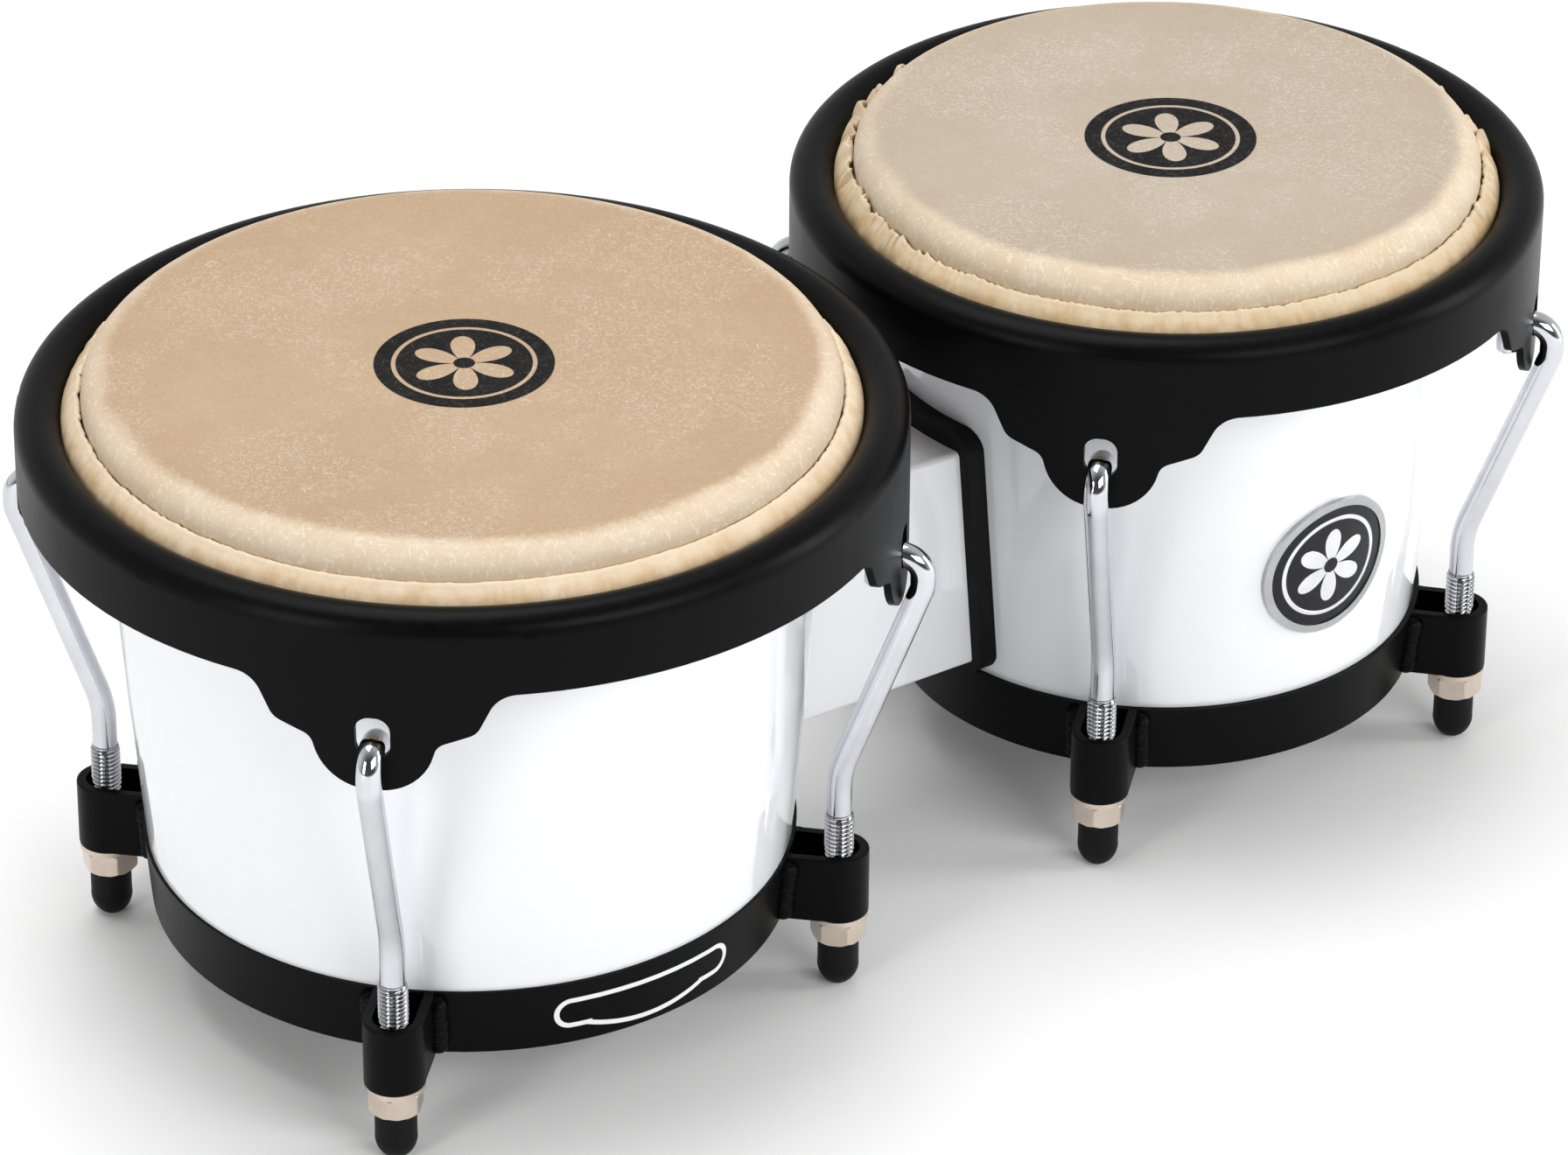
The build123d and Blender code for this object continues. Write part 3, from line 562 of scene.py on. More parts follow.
@dataclass(frozen=True)
class LabelledFinish(CoatedFinish):
    """The bottom ring's coat with a plain white outline printed on its front."""

    centre: Point = (0.0, 0.0)
    facing: float = -89.8
    radius: float = 0.0838
    level: float = 0.0315
    half_length: float = 0.0265
    half_height: float = 0.0046
    line: float = 0.0014
    belly_half: float = 0.0177
    belly_depth: float = 0.003

    def build(self, effects: Effects) -> bpy.types.Material:
        """Builds the material.

        Args:
            effects: The shared effects.

        Returns:
            The material.
        """
        material = super().build(effects)
        board = Board(material.node_tree)
        shader = board.tree.nodes["Principled BSDF"]
        base = shader.inputs["Base Color"].links[0].from_socket
        place = board.add("ShaderNodeTexCoord").outputs["Object"]
        x, y, z = board.facing_axes(place, (*self.centre, self.level), self.facing)
        along = board.math("MULTIPLY", board.math("ARCTAN2", y, x), self.radius)
        distance = board.math("ABSOLUTE", along)
        past = board.math("SUBTRACT", distance, self.half_length - self.half_height)
        past = board.math("MAXIMUM", past, 0.0)
        away = board.length(past, z)
        capsule = board.math("SUBTRACT", away, self.half_height)
        bend = (self.belly_half ** 2 + self.belly_depth ** 2) / (2 * self.belly_depth)
        up = board.math("SUBTRACT", z, bend - self.belly_depth - self.half_height)
        circle = board.length(along, up)
        beside = board.math("SUBTRACT", distance, self.belly_half)
        below = board.math("MAXIMUM", board.math("SUBTRACT", circle, bend), z)
        belly = board.math("MAXIMUM", below, beside)
        shape = board.math("MINIMUM", capsule, belly)
        off = board.math("ABSOLUTE", board.math("ADD", shape, self.line / 2))
        soft = 0.0001
        outline = board.ramp(off, self.line / 2 - soft, self.line / 2 + soft, 1.0, 0.0)
        board.feed(shader.inputs["Base Color"], board.mix(outline, base, (0.8, 0.8, 0.8)))
        return material


@dataclass(frozen=True)
class BadgeFinish(PlatedFinish):
    """The badge's dark face with the plain mark in bright metal."""

    centre: tuple[float, float, float] = (0.0, 0.0, 0.0)
    facing: float = -89.0
    dark: Colour = (0.012, 0.012, 0.014)
    size: float = 0.0183

    def build(self, effects: Effects) -> bpy.types.Material:
        """Builds the material.

        Args:
            effects: The shared effects.

        Returns:
            The material.
        """
        material = super().build(effects)
        board = Board(material.node_tree)
        shader = board.tree.nodes["Principled BSDF"]
        base = shader.inputs["Base Color"].links[0].from_socket
        place = board.add("ShaderNodeTexCoord").outputs["Object"]
        _, y, z = board.facing_axes(place, self.centre, self.facing)
        mark = Emblem(self.size * 0.8, 0.0012, self.size * 0.62, pi / 6).mask(board, y, z)
        board.feed(shader.inputs["Base Color"], board.mix(mark, self.dark, base))
        board.feed(shader.inputs["Metallic"], mark)
        shader.inputs["Specular IOR Level"].default_value = 0.2
        bump = board.add("ShaderNodeBump", {"Strength": 0.6, "Distance": 0.0003, "Height": mark})
        board.feed(shader.inputs["Normal"], bump.outputs[0])
        return material


# ---------------------------------------------------------------- meshes
def smooth(mesh: bpy.types.Mesh, angle: float = 40.0) -> None:
    """Shades a mesh smooth, except over edges sharper than the angle in degrees."""
    mesh.polygons.foreach_set("use_smooth", [True] * len(mesh.polygons))
    mesh.set_sharp_from_angle(angle=radians(angle))


def new_piece(
    name: str, verts: Sequence[Sequence[float]], faces: Sequence[Sequence[int]]
) -> bpy.types.Object:
    """Makes an object of a mesh, linked to the scene.

    Args:
        name: Its name.
        verts: The points, in the row frame.
        faces: The faces, as point numbers.

    Returns:
        The object.
    """
    mesh = bpy.data.meshes.new(name)
    mesh.from_pydata(verts, [], faces)
    mesh.validate()
    piece = bpy.data.objects.new(name, mesh)
    bpy.context.scene.collection.objects.link(piece)
    return piece


def finish_piece(
    piece: bpy.types.Object, body: str, material: bpy.types.Material, nodes: Sequence[str]
) -> None:
    """Dresses a new piece and ties it to the model.

    Args:
        piece: The piece.
        body: The body that it rides on.
        material: Its finish.
        nodes: The nodes that it stands for.
    """
    piece.data.materials.clear()
    piece.data.materials.append(material)
    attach(piece, body)
    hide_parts(*nodes)
    LOG.info("%s: %d faces on %s", piece.name, len(piece.data.polygons), body)


def bake_nodes(piece: bpy.types.Object) -> bpy.types.Object:
    """Turns a piece's evaluated geometry into a plain mesh object of the same name.

    Args:
        piece: The object with its modifier.

    Returns:
        The plain mesh object.
    """
    name = piece.name
    depsgraph = bpy.context.evaluated_depsgraph_get()
    mesh = bpy.data.meshes.new_from_object(piece.evaluated_get(depsgraph), depsgraph=depsgraph)
    bpy.data.objects.remove(piece)
    mesh.name = name
    baked = bpy.data.objects.new(name, mesh)
    bpy.context.scene.collection.objects.link(baked)
    return baked


Section = Callable[[float], list[Point]]


def lathe(name: str, centre: Point, section: Section, segments: int, closed: bool) -> bpy.types.Object:
    """Turns a section, which may vary with the angle, round a vertical axis.

    Args:
        name: The piece's name.
        centre: The axis.
        section: Gives the outline's (radius, height) points at an angle, always the same number.
        segments: How many steps there are round the axis.
        closed: True where the outline closes on itself; otherwise both ends lie on the axis.

    Returns:
        The piece, with its faces outwards where the outline runs from the top axis point outwards and down.
    """
    rings = [section(2 * pi * n / segments) for n in range(segments)]
    count = len(rings[0])
    verts: list[tuple[float, float, float]] = []
    faces: list[tuple[int, ...]] = []
    body = range(count) if closed else range(1, count - 1)
    for n, ring in enumerate(rings):
        angle = 2 * pi * n / segments
        for radius, height in (ring[k] for k in body):
            verts.append((centre[0] + radius * cos(angle), centre[1] + radius * sin(angle), height))
    width = len(body)
    for n in range(segments):
        here, there = n * width, (n + 1) % segments * width
        for k in range(width if closed else width - 1):
            after = (k + 1) % width
            faces.append((here + k, here + after, there + after, there + k))
    if not closed:
        top, bottom = len(verts), len(verts) + 1
        verts.append((*centre, rings[0][0][1]))
        verts.append((*centre, rings[0][-1][1]))
        for n in range(segments):
            here, there = n * width, (n + 1) % segments * width
            faces.append((top, here, there))
            faces.append((here + width - 1, bottom, there + width - 1))
    return new_piece(name, verts, faces)


def arc(centre: Point, radius: float, start: float, end: float, steps: int) -> list[Point]:
    """Points on an arc, angles in degrees, both ends included."""
    angles = [radians(start + (end - start) * n / steps) for n in range(steps + 1)]
    return [(centre[0] + radius * cos(a), centre[1] + radius * sin(a)) for a in angles]


def straight(start: Point, end: Point, steps: int) -> list[Point]:
    """Points on a straight line, without its two ends."""
    return [tuple(a + (b - a) * n / steps for a, b in zip(start, end)) for n in range(1, steps)]


# ---------------------------------------------------------------- one drum
@dataclass(frozen=True)
class DrumLook:
    """The tones that make one drum's skin differ from the other's."""

    tone: Colour
    tone_far: Colour
    edge: Colour
    # The share of the edge's paleness kept on the side away from the lamps, as painted shade.
    edge_shaded_side_paleness: float
    fibre: Colour
    fibre_amount: float
    lap: Colour
    lap_pale: Colour
    frill: float
    print_offset: Point


@dataclass
class Drum:
    """One drum's skin, lap, tuning hooks and welds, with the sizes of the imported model."""

    name: str
    look: DrumLook
    taper: float = tan(radians(4.72))
    skin: float = 1.3 * MM
    edge_round: float = 6.7 * MM
    collar_height: float = 26.0 * MM
    roll: float = 4.3 * MM
    lip_from_hoop: float = 2.7 * MM
    sheet: float = 2.0 * MM
    lap_knee: float = 10.0 * MM
    lap_top: float = 14.2 * MM
    lap_thickness: float = 1.3 * MM
    lap_fade: float = 3.5 * MM
    rod: float = 3.25 * MM
    thread: float = 3.9 * MM
    pitch: float = 1.25 * MM
    thread_floor: float = 4.0 * MM
    thread_top: float = 52.0 * MM
    lean: float = radians(20.0)
    rod_bend: float = 30.0 * MM
    hook_bend: float = 5.9 * MM
    hook_tail: float = 3.0 * MM
    leg_to_tab: float = 0.35 * MM
    end_round: float = 0.8 * MM
    lugs: list[Point] = field(default_factory=list)

    def __post_init__(self) -> None:
        """Reads the drum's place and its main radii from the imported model."""
        low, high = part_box(f"{self.name}_rim")
        self.centre: Point = ((low.x + high.x) / 2, (low.y + high.y) / 2)
        self.rim = (high.x - low.x) / 2
        hook_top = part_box(f"{self.name}_hook_1")[1].z
        self.hook_level = hook_top - self.hook_bend - self.rod
        self.leg_drop = self.upright_stretch(low.z)
        skin_low, skin_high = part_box(f"{self.name}_head")
        self.top = skin_high.z
        self.flat = (skin_high.x - skin_low.x) / 2
        hoop_low, hoop_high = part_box(f"{self.name}_flesh_hoop")
        self.hoop_level = (hoop_low.z + hoop_high.z) / 2
        self.hoop = (hoop_high.x - hoop_low.x) / 2 - (hoop_high.z - hoop_low.z) / 2
        for joint in frame["joints"]:
            if joint["name"].startswith(f"{self.name}_nut_"):
                x, y = joint["pos_m"][0] - self.centre[0], joint["pos_m"][1] - self.centre[1]
                self.lugs.append((atan2(y, x), hypot(x, y)))

    def wall(self, height: float) -> float:
        """Outer radius of the collar at a height."""
        shell = self.flat + self.edge_round
        return shell - (self.top - self.skin - height) * self.taper + 0.2 * MM + self.skin

    def head_section(self, angle: float) -> list[Point]:
        """The skin's outline at an angle: flat top, turned edge, collar, and the same inside.

        Args:
            angle: Direction from the drum's axis, in radians.

        Returns:
            The points, from the middle of the top outwards and down.
        """
        way = Vector((cos(angle), sin(angle), 0.0))
        seed = 7.0 if self.name == "large" else 31.0
        level = self.top - self.skin - self.edge_round
        outer = self.edge_round + self.skin
        floor = self.top - self.collar_height

        def sag(radius: float) -> float:
            """A slow unevenness of the stretched skin.

            Args:
                radius: Distance from the drum's axis.

            Returns:
                The change of height.
            """
            place = way * radius * 18 + Vector((seed, 0.0, 0.0))
            fade = min(1.0, max(0.0, (self.flat - radius) / (12 * MM)))
            return noise.noise(place) * 0.16 * MM * fade - 0.1 * MM

        def pucker(height: float) -> float:
            """Fine upright folds of the skin where it is pulled down.

            Args:
                height: Height above the floor.

            Returns:
                The change of radius.
            """
            depth = min(1.0, max(0.0, (self.top - height) / (7 * MM)))
            fold = noise.noise(way * 26 + Vector((0, seed, height * 12)))
            return (fold * 0.22 + noise.noise(way * 70 + Vector((seed, 0, height * 30))) * 0.1) * MM * depth

        count = 30
        top = [(self.flat * n / count, self.top + sag(self.flat * n / count)) for n in range(count + 1)]
        turn = arc((self.flat, level), outer, 90, 0, 16)[1:]
        end_shift = self.wall(level) - self.flat - outer
        turn = [
            (r + end_shift * n / 16 + pucker(z), z - 0.1 * MM * (1 - n / 16))
            for n, (r, z) in enumerate(turn, 1)
        ]
        side = [
            (self.wall(z) + pucker(z), z)
            for z in [level + (floor - level) * n / 8 for n in range(1, 9)]
        ]
        inner_side = [(self.wall(z) - self.skin, z) for z in (floor, level)]
        inner_turn = arc((self.flat, level), self.edge_round + 0.05 * MM, 10, 90, 6)
        under = [(self.flat * n / 8, self.top - self.skin + 0.05 * MM) for n in range(7, -1, -1)]
        return top + turn + side + inner_side + inner_turn + under

    def frilled(self, angle: float) -> float:
        """How ragged the lap is at an angle: smooth in front, frilled at the back and the sides."""
        front = cos(angle - radians(-112.0))
        return self.look.frill * min(1.0, max(0.22, (0.9 - front) / 0.8))

    def lap_section(self, angle: float) -> list[Point]:
        """The rolled skin's outline at an angle: the roll round the hoop and its ragged end above.

        Args:
            angle: Direction from the drum's axis, in radians.

        Returns:
            The points of the closed outline.
        """
        way = Vector((cos(angle), sin(angle), 0.0))
        seed = Vector((3.0 if self.name == "large" else 57.0, 11.0, 5.0))
        amount = self.frilled(angle)
        slow = noise.noise(way * 8 + seed)
        wave = noise.noise(way * 24 + seed)
        fine = noise.noise(way * 75 + seed)
        fold = 0.35 - abs(noise.noise(way * 30 - seed)) - 0.6 * abs(noise.noise(way * 70 - seed))
        ragged = (0.5 * slow + 0.5 * wave + 0.5 * fine) * 7.0 + 2.5 * fold + 0.6
        rise = min(4.2, max(-1.6, ragged)) * MM * amount
        bulge = min(2.6, 5.0 * fold + 2.0 * wave) * MM * amount
        outer = self.hoop + self.lip_from_hoop - self.sheet / 2 - 0.1 * MM
        top = self.wall(self.hoop_level + self.lap_top) + 0.15 * MM
        h = self.hoop_level
        tip = h + self.lap_top + rise
        out = max(0.0, bulge)
        thick = self.lap_thickness
        knee = h + self.lap_knee
        crown = [
            (top + 0.05 * MM + out, tip - 0.5 * MM),
            (top + 0.35 * MM + out, tip - 0.05 * MM),
            (top + 0.8 * MM + out, tip),
            (top + 1.25 * MM + out, tip - 0.25 * MM),
        ]
        slope_start = (top + thick + 0.3 * MM + out, tip - 0.8 * MM)
        knee_out = (outer, knee - 0.6 * MM)
        slope = [slope_start]
        for n, (r, z) in enumerate(straight(slope_start, knee_out, 6), 1):
            ripple = noise.noise(way * 60 + Vector((0, 0, z * 60)) + seed) * 0.3 * MM
            slope.append((r + ripple + 0.35 * MM * sin(pi * n / 6), z))
        down = [knee_out, (outer, knee - 2 * MM), (outer, h + 3.9 * MM)]
        roll = arc((self.hoop, h), self.roll, 64, -244, 26)
        inner = [(outer - thick, h + 3.9 * MM), (outer - thick, knee - 1.5 * MM)]
        back = straight((outer - thick, knee - 1.5 * MM), crown[0], 5)
        return crown + slope + down + roll + inner + back

    def head(self) -> bpy.types.Object:
        """Builds the flat head, its turned edge and the collar as one skin."""
        piece = lathe(f"{self.name}_playing_skin", self.centre, self.head_section, 384, False)
        smooth(piece.data, 60.0)
        return piece

    def lap(self) -> bpy.types.Object:
        """Builds the rolled part of the skin, with its visible ragged end."""
        piece = lathe(f"{self.name}_skin_lap", self.centre, self.lap_section, 900, True)
        smooth(piece.data, 60.0)
        return piece

    def upright_stretch(self, tab_floor: float) -> float:
        """Length of rod that stays upright below the hook, so that the lean clears the tab's tip.

        Args:
            tab_floor: Height of the tab's tip.

        Returns:
            The length, zero where the rod can lean straight away.
        """
        reach = self.hook_bend * cos(self.lean) - self.rod / cos(self.lean) - self.sheet / 2
        turn = self.hook_level - self.hook_bend * sin(self.lean)
        return max(0.0, turn - tab_floor - (reach - self.leg_to_tab) / tan(self.lean))

    def hook_line(self, lug: float) -> list[tuple[float, float, float]]:
        """The tuning rod's line above its thread.

        Args:
            lug: Radius that the thread stands on.

        Returns:
            Points as (distance from the drum's axis, height, rod radius).
        """
        tab = self.rim - self.sheet / 2
        turn_level = self.hook_level - self.leg_drop
        leg = (tab + self.hook_bend * cos(self.lean), turn_level - self.hook_bend * sin(self.lean))
        knee = leg[1] - (leg[0] - lug) / tan(self.lean) - self.rod_bend * tan(self.lean / 2)
        tail = self.hook_level - self.hook_tail
        inner = tab - self.hook_bend
        line = [(lug, self.thread_top - 1.2 * MM), (lug, knee - 2 * MM)]
        line += arc((lug + self.rod_bend, knee), self.rod_bend, 180, 180 - degrees(self.lean), 14)
        line += straight(line[-1], leg, 10)
        line += arc((tab, turn_level), self.hook_bend, -degrees(self.lean), 0, 5)
        line += arc((tab, self.hook_level), self.hook_bend, 0, 180, 26)
        line += [(inner, tail + self.end_round)]
        points = [(r, z, self.rod) for r, z in line]
        for step in range(1, 6):
            turn = pi / 2 * step / 5
            radius = self.rod - self.end_round + self.end_round * cos(turn)
            points.append((inner, tail + self.end_round - self.end_round * sin(turn), radius))
        return points


# ---------------------------------------------------------------- geometry node trees
class RodTree:
    """The tree that sweeps a rod along its line and cuts a rolled thread on its lower end."""

    INPUTS = {
        "Thread radius": ("NodeSocketFloat", 3.9 * MM),
        "Root radius": ("NodeSocketFloat", 3.2 * MM),
        "Pitch": ("NodeSocketFloat", 1.25 * MM),
        "Thread floor": ("NodeSocketFloat", 4.0 * MM),
        "Thread top": ("NodeSocketFloat", 52.0 * MM),
        "Lug place": ("NodeSocketVector", (0.0, 0.0, 0.0)),
        "Finish": ("NodeSocketMaterial", None),
    }
    STEPS_PER_TURN = 8
    SIDES = 40

    def __init__(self) -> None:
        """Builds the tree."""
        tree = bpy.data.node_groups.new("tuning_rod", "GeometryNodeTree")
        tree.interface.new_socket("Geometry", in_out="INPUT", socket_type="NodeSocketGeometry")
        self.sockets: dict[str, str] = {}
        for name, (kind, value) in self.INPUTS.items():
            socket = tree.interface.new_socket(name, in_out="INPUT", socket_type=kind)
            if value is not None:
                socket.default_value = value
            self.sockets[name] = socket.identifier
        tree.interface.new_socket("Geometry", in_out="OUTPUT", socket_type="NodeSocketGeometry")
        self.tree = tree
        board = Board(tree)
        start, end = board.add("NodeGroupInput"), board.add("NodeGroupOutput")
        joined = board.add("GeometryNodeJoinGeometry")
        for part in (self._swept_rod(board, start), self._thread(board, start)):
            tree.links.new(part, joined.inputs[0])
        shade = board.add("GeometryNodeSetShadeSmooth", {0: joined.outputs[0]}).outputs[0]
        real = board.add("GeometryNodeRealizeInstances", {0: shade}).outputs[0]
        finish = {"Geometry": real, "Material": start.outputs["Finish"]}
        dressed = board.add("GeometryNodeSetMaterial", finish)
        board.feed(end.inputs[0], dressed.outputs[0])

    def _swept_rod(self, board: Board, start: bpy.types.Node) -> Socket:
        """Sweeps a round section along the line, as thick as each point's radius.

        Args:
            board: The tree's board.
            start: The tree's input node.

        Returns:
            The rod's mesh.
        """
        circle = board.add("GeometryNodeCurvePrimitiveCircle", {"Resolution": 32, "Radius": 1.0}).outputs[0]
        curves = {"Curve": start.outputs["Geometry"], "Profile Curve": circle}
        sweep = board.add("GeometryNodeCurveToMesh", curves)
        sweep.inputs["Fill Caps"].default_value = True
        if "Scale" in sweep.inputs:
            board.feed(sweep.inputs["Scale"], board.add("GeometryNodeInputRadius").outputs[0])
        return sweep.outputs[0]

    def _thread(self, board: Board, start: bpy.types.Node) -> Socket:
        """Shapes a tall cylinder into a helical ridge that fades at both ends.

        Args:
            board: The tree's board.
            start: The tree's input node.

        Returns:
            The thread's mesh.
        """
        floor, top = start.outputs["Thread floor"], start.outputs["Thread top"]
        outer, root = start.outputs["Thread radius"], start.outputs["Root radius"]
        depth = board.math("SUBTRACT", top, floor)
        turns = board.math("DIVIDE", depth, start.outputs["Pitch"])
        steps = board.math("MULTIPLY", turns, float(self.STEPS_PER_TURN))
        tube = board.add(
            "GeometryNodeMeshCylinder",
            {"Vertices": self.SIDES, "Side Segments": steps, "Radius": outer, "Depth": depth},
        ).outputs["Mesh"]
        position = board.add("GeometryNodeInputPosition").outputs[0]
        x, y, z = board.add("ShaderNodeSeparateXYZ", {0: position}).outputs
        angle = board.math("DIVIDE", board.math("ARCTAN2", y, x), 2 * pi)
        phase = board.math("SUBTRACT", board.math("DIVIDE", z, start.outputs["Pitch"]), angle)
        ridge = board.math("MULTIPLY", board.math("PINGPONG", phase, 0.5), 2.0)
        ridge = board.math("MULTIPLY_ADD", ridge, 1.5, -0.25, clamp=True)
        half = board.math("MULTIPLY", depth, 0.5)
        from_end = board.math("SUBTRACT", half, board.math("ABSOLUTE", z))
        fade = board.math("DIVIDE", from_end, 1.6 * MM, clamp=True)
        raised = board.math("MULTIPLY", ridge, fade)
        radius = board.math("MULTIPLY_ADD", raised, board.math("SUBTRACT", outer, root), root)
        spread = board.math("ADD", board.math("ABSOLUTE", x), board.math("ABSOLUTE", y))
        off_axis = board.math("GREATER_THAN", spread, MM)
        shrink = board.math("SUBTRACT", board.math("DIVIDE", radius, outer), 1.0)
        share = board.math("MULTIPLY", shrink, off_axis)
        # The groove depth is stored for the chrome's painted shade in the thread's roots.
        groove = board.math("SUBTRACT", 1.0, raised)
        tube = board.add(
            "GeometryNodeStoreNamedAttribute", {"Geometry": tube, "Name": GROOVE, "Value": groove}
        ).outputs[0]
        offset = board.add(
            "ShaderNodeCombineXYZ", {0: board.math("MULTIPLY", x, share), 1: board.math("MULTIPLY", y, share)}
        ).outputs[0]
        shaped = board.add("GeometryNodeSetPosition", {"Geometry": tube, "Offset": offset}).outputs[0]
        lift = board.math("MULTIPLY", board.math("ADD", floor, top), 0.5)
        rise = board.add("ShaderNodeCombineXYZ", {2: lift}).outputs[0]
        place = board.add("ShaderNodeVectorMath", {0: start.outputs["Lug place"], 1: rise}, operation="ADD")
        moved = board.add("GeometryNodeTransform", {"Geometry": shaped, "Translation": place.outputs[0]})
        return moved.outputs[0]

    def hook(self, drum: Drum, number: int, material: bpy.types.Material) -> bpy.types.Object:
        """Builds one tuning hook as a plain mesh.

        Args:
            drum: Its drum.
            number: The lug's number, from 1.
            material: Its finish.

        Returns:
            The piece.
        """
        angle, lug = drum.lugs[number - 1]
        line = drum.hook_line(lug)
        curve = bpy.data.curves.new(f"{drum.name}_tuning_hook_{number}", "CURVE")
        curve.dimensions = "3D"
        spline = curve.splines.new("POLY")
        spline.points.add(len(line) - 1)
        for point, (r, z, thickness) in zip(spline.points, line):
            point.co = (drum.centre[0] + r * cos(angle), drum.centre[1] + r * sin(angle), z, 1.0)
            point.radius = thickness
        piece = bpy.data.objects.new(curve.name, curve)
        bpy.context.scene.collection.objects.link(piece)
        modifier = piece.modifiers.new("rod", "NODES")
        modifier.node_group = self.tree
        place = (drum.centre[0] + lug * cos(angle), drum.centre[1] + lug * sin(angle), 0.0)
        values = {
            "Thread radius": drum.thread - 0.02 * MM,
            "Root radius": drum.rod - 0.03 * MM,
            "Pitch": drum.pitch,
            "Thread floor": drum.thread_floor,
            "Thread top": drum.thread_top,
            "Lug place": place,
            "Finish": material,
        }
        for name, value in values.items():
            modifier[self.sockets[name]] = value
        baked = bake_nodes(piece)
        smooth(baked.data, 50.0)
        return baked


class WeldTree:
    """The tree that lays overlapping drops along each weld's line."""

    DROP_RADIUS = 3.1 * MM
    SEED = 4
    DROPS = 10
    LINE_END = 1.6 * MM
    SIDE = 7.9 * MM
    STAND_OFF = 0.5 * MM

    def __init__(self) -> None:
        """Builds the tree."""
        tree = bpy.data.node_groups.new("weld_drops", "GeometryNodeTree")
        tree.interface.new_socket("Geometry", in_out="INPUT", socket_type="NodeSocketGeometry")
        self.sockets: dict[str, str] = {}
        inputs = {
            "Drop radius": ("NodeSocketFloat", self.DROP_RADIUS),
            "Seed": ("NodeSocketInt", self.SEED),
            "Finish": ("NodeSocketMaterial", None),
        }
        for name, (kind, value) in inputs.items():
            socket = tree.interface.new_socket(name, in_out="INPUT", socket_type=kind)
            if value is not None:
                socket.default_value = value
            self.sockets[name] = socket.identifier
        tree.interface.new_socket("Geometry", in_out="OUTPUT", socket_type="NodeSocketGeometry")
        self.tree = tree
        board = Board(tree)
        start, end = board.add("NodeGroupInput"), board.add("NodeGroupOutput")
        ball = {"Radius": start.outputs["Drop radius"], "Subdivisions": 3}
        drop = board.add("GeometryNodeMeshIcoSphere", ball).outputs[0]
        size = board.add(
            "FunctionNodeRandomValue",
            {"Min": (0.9, 0.9, 0.62), "Max": (1.06, 1.06, 0.8), "Seed": start.outputs["Seed"]},
            data_type="FLOAT_VECTOR",
        ).outputs[0]
        lie = board.add(
            "FunctionNodeRandomValue",
            {"Min": (-0.35, -0.35, 0.0), "Max": (0.35, 0.35, 3.0), "Seed": start.outputs["Seed"]},
            data_type="FLOAT_VECTOR",
        ).outputs[0]
        placed = board.add(
            "GeometryNodeInstanceOnPoints",
            {"Points": start.outputs["Geometry"], "Instance": drop, "Rotation": lie, "Scale": size},
        ).outputs[0]
        real = board.add("GeometryNodeRealizeInstances", {0: placed}).outputs[0]
        shade = board.add("GeometryNodeSetShadeSmooth", {0: real}).outputs[0]
        finish = {"Geometry": shade, "Material": start.outputs["Finish"]}
        dressed = board.add("GeometryNodeSetMaterial", finish)
        board.feed(end.inputs[0], dressed.outputs[0])

    def beads(self, drum: Drum, material: bpy.types.Material) -> bpy.types.Object:
        """Builds all weld beads of a drum as one plain mesh.

        Args:
            drum: The drum.
            material: The finish.

        Returns:
            The piece.
        """
        low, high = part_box(f"{drum.name}_weld_beads")
        ring_low, ring_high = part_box(f"{drum.name}_bottom_ring")
        ring = (ring_high.x - ring_low.x) / 2
        length = high.z - low.z - 2 * self.LINE_END
        points = []
        for angle, _ in drum.lugs:
            for sign in (-1, 1):
                for step in range(self.DROPS):
                    z = low.z + self.LINE_END + length * step / (self.DROPS - 1)
                    wall = ring - (ring_high.z - z) * drum.taper + self.STAND_OFF
                    x, y = sqrt(wall ** 2 - self.SIDE ** 2), sign * (self.SIDE + self.STAND_OFF)
                    across = drum.centre[0] + x * cos(angle) - y * sin(angle)
                    along = drum.centre[1] + x * sin(angle) + y * cos(angle)
                    points.append((across, along, z))
        piece = new_piece(f"{drum.name}_welds", points, [])
        modifier = piece.modifiers.new("drops", "NODES")
        modifier.node_group = self.tree
        for name, value in {"Drop radius": self.DROP_RADIUS, "Seed": self.SEED, "Finish": material}.items():
            modifier[self.sockets[name]] = value
        return bake_nodes(piece)


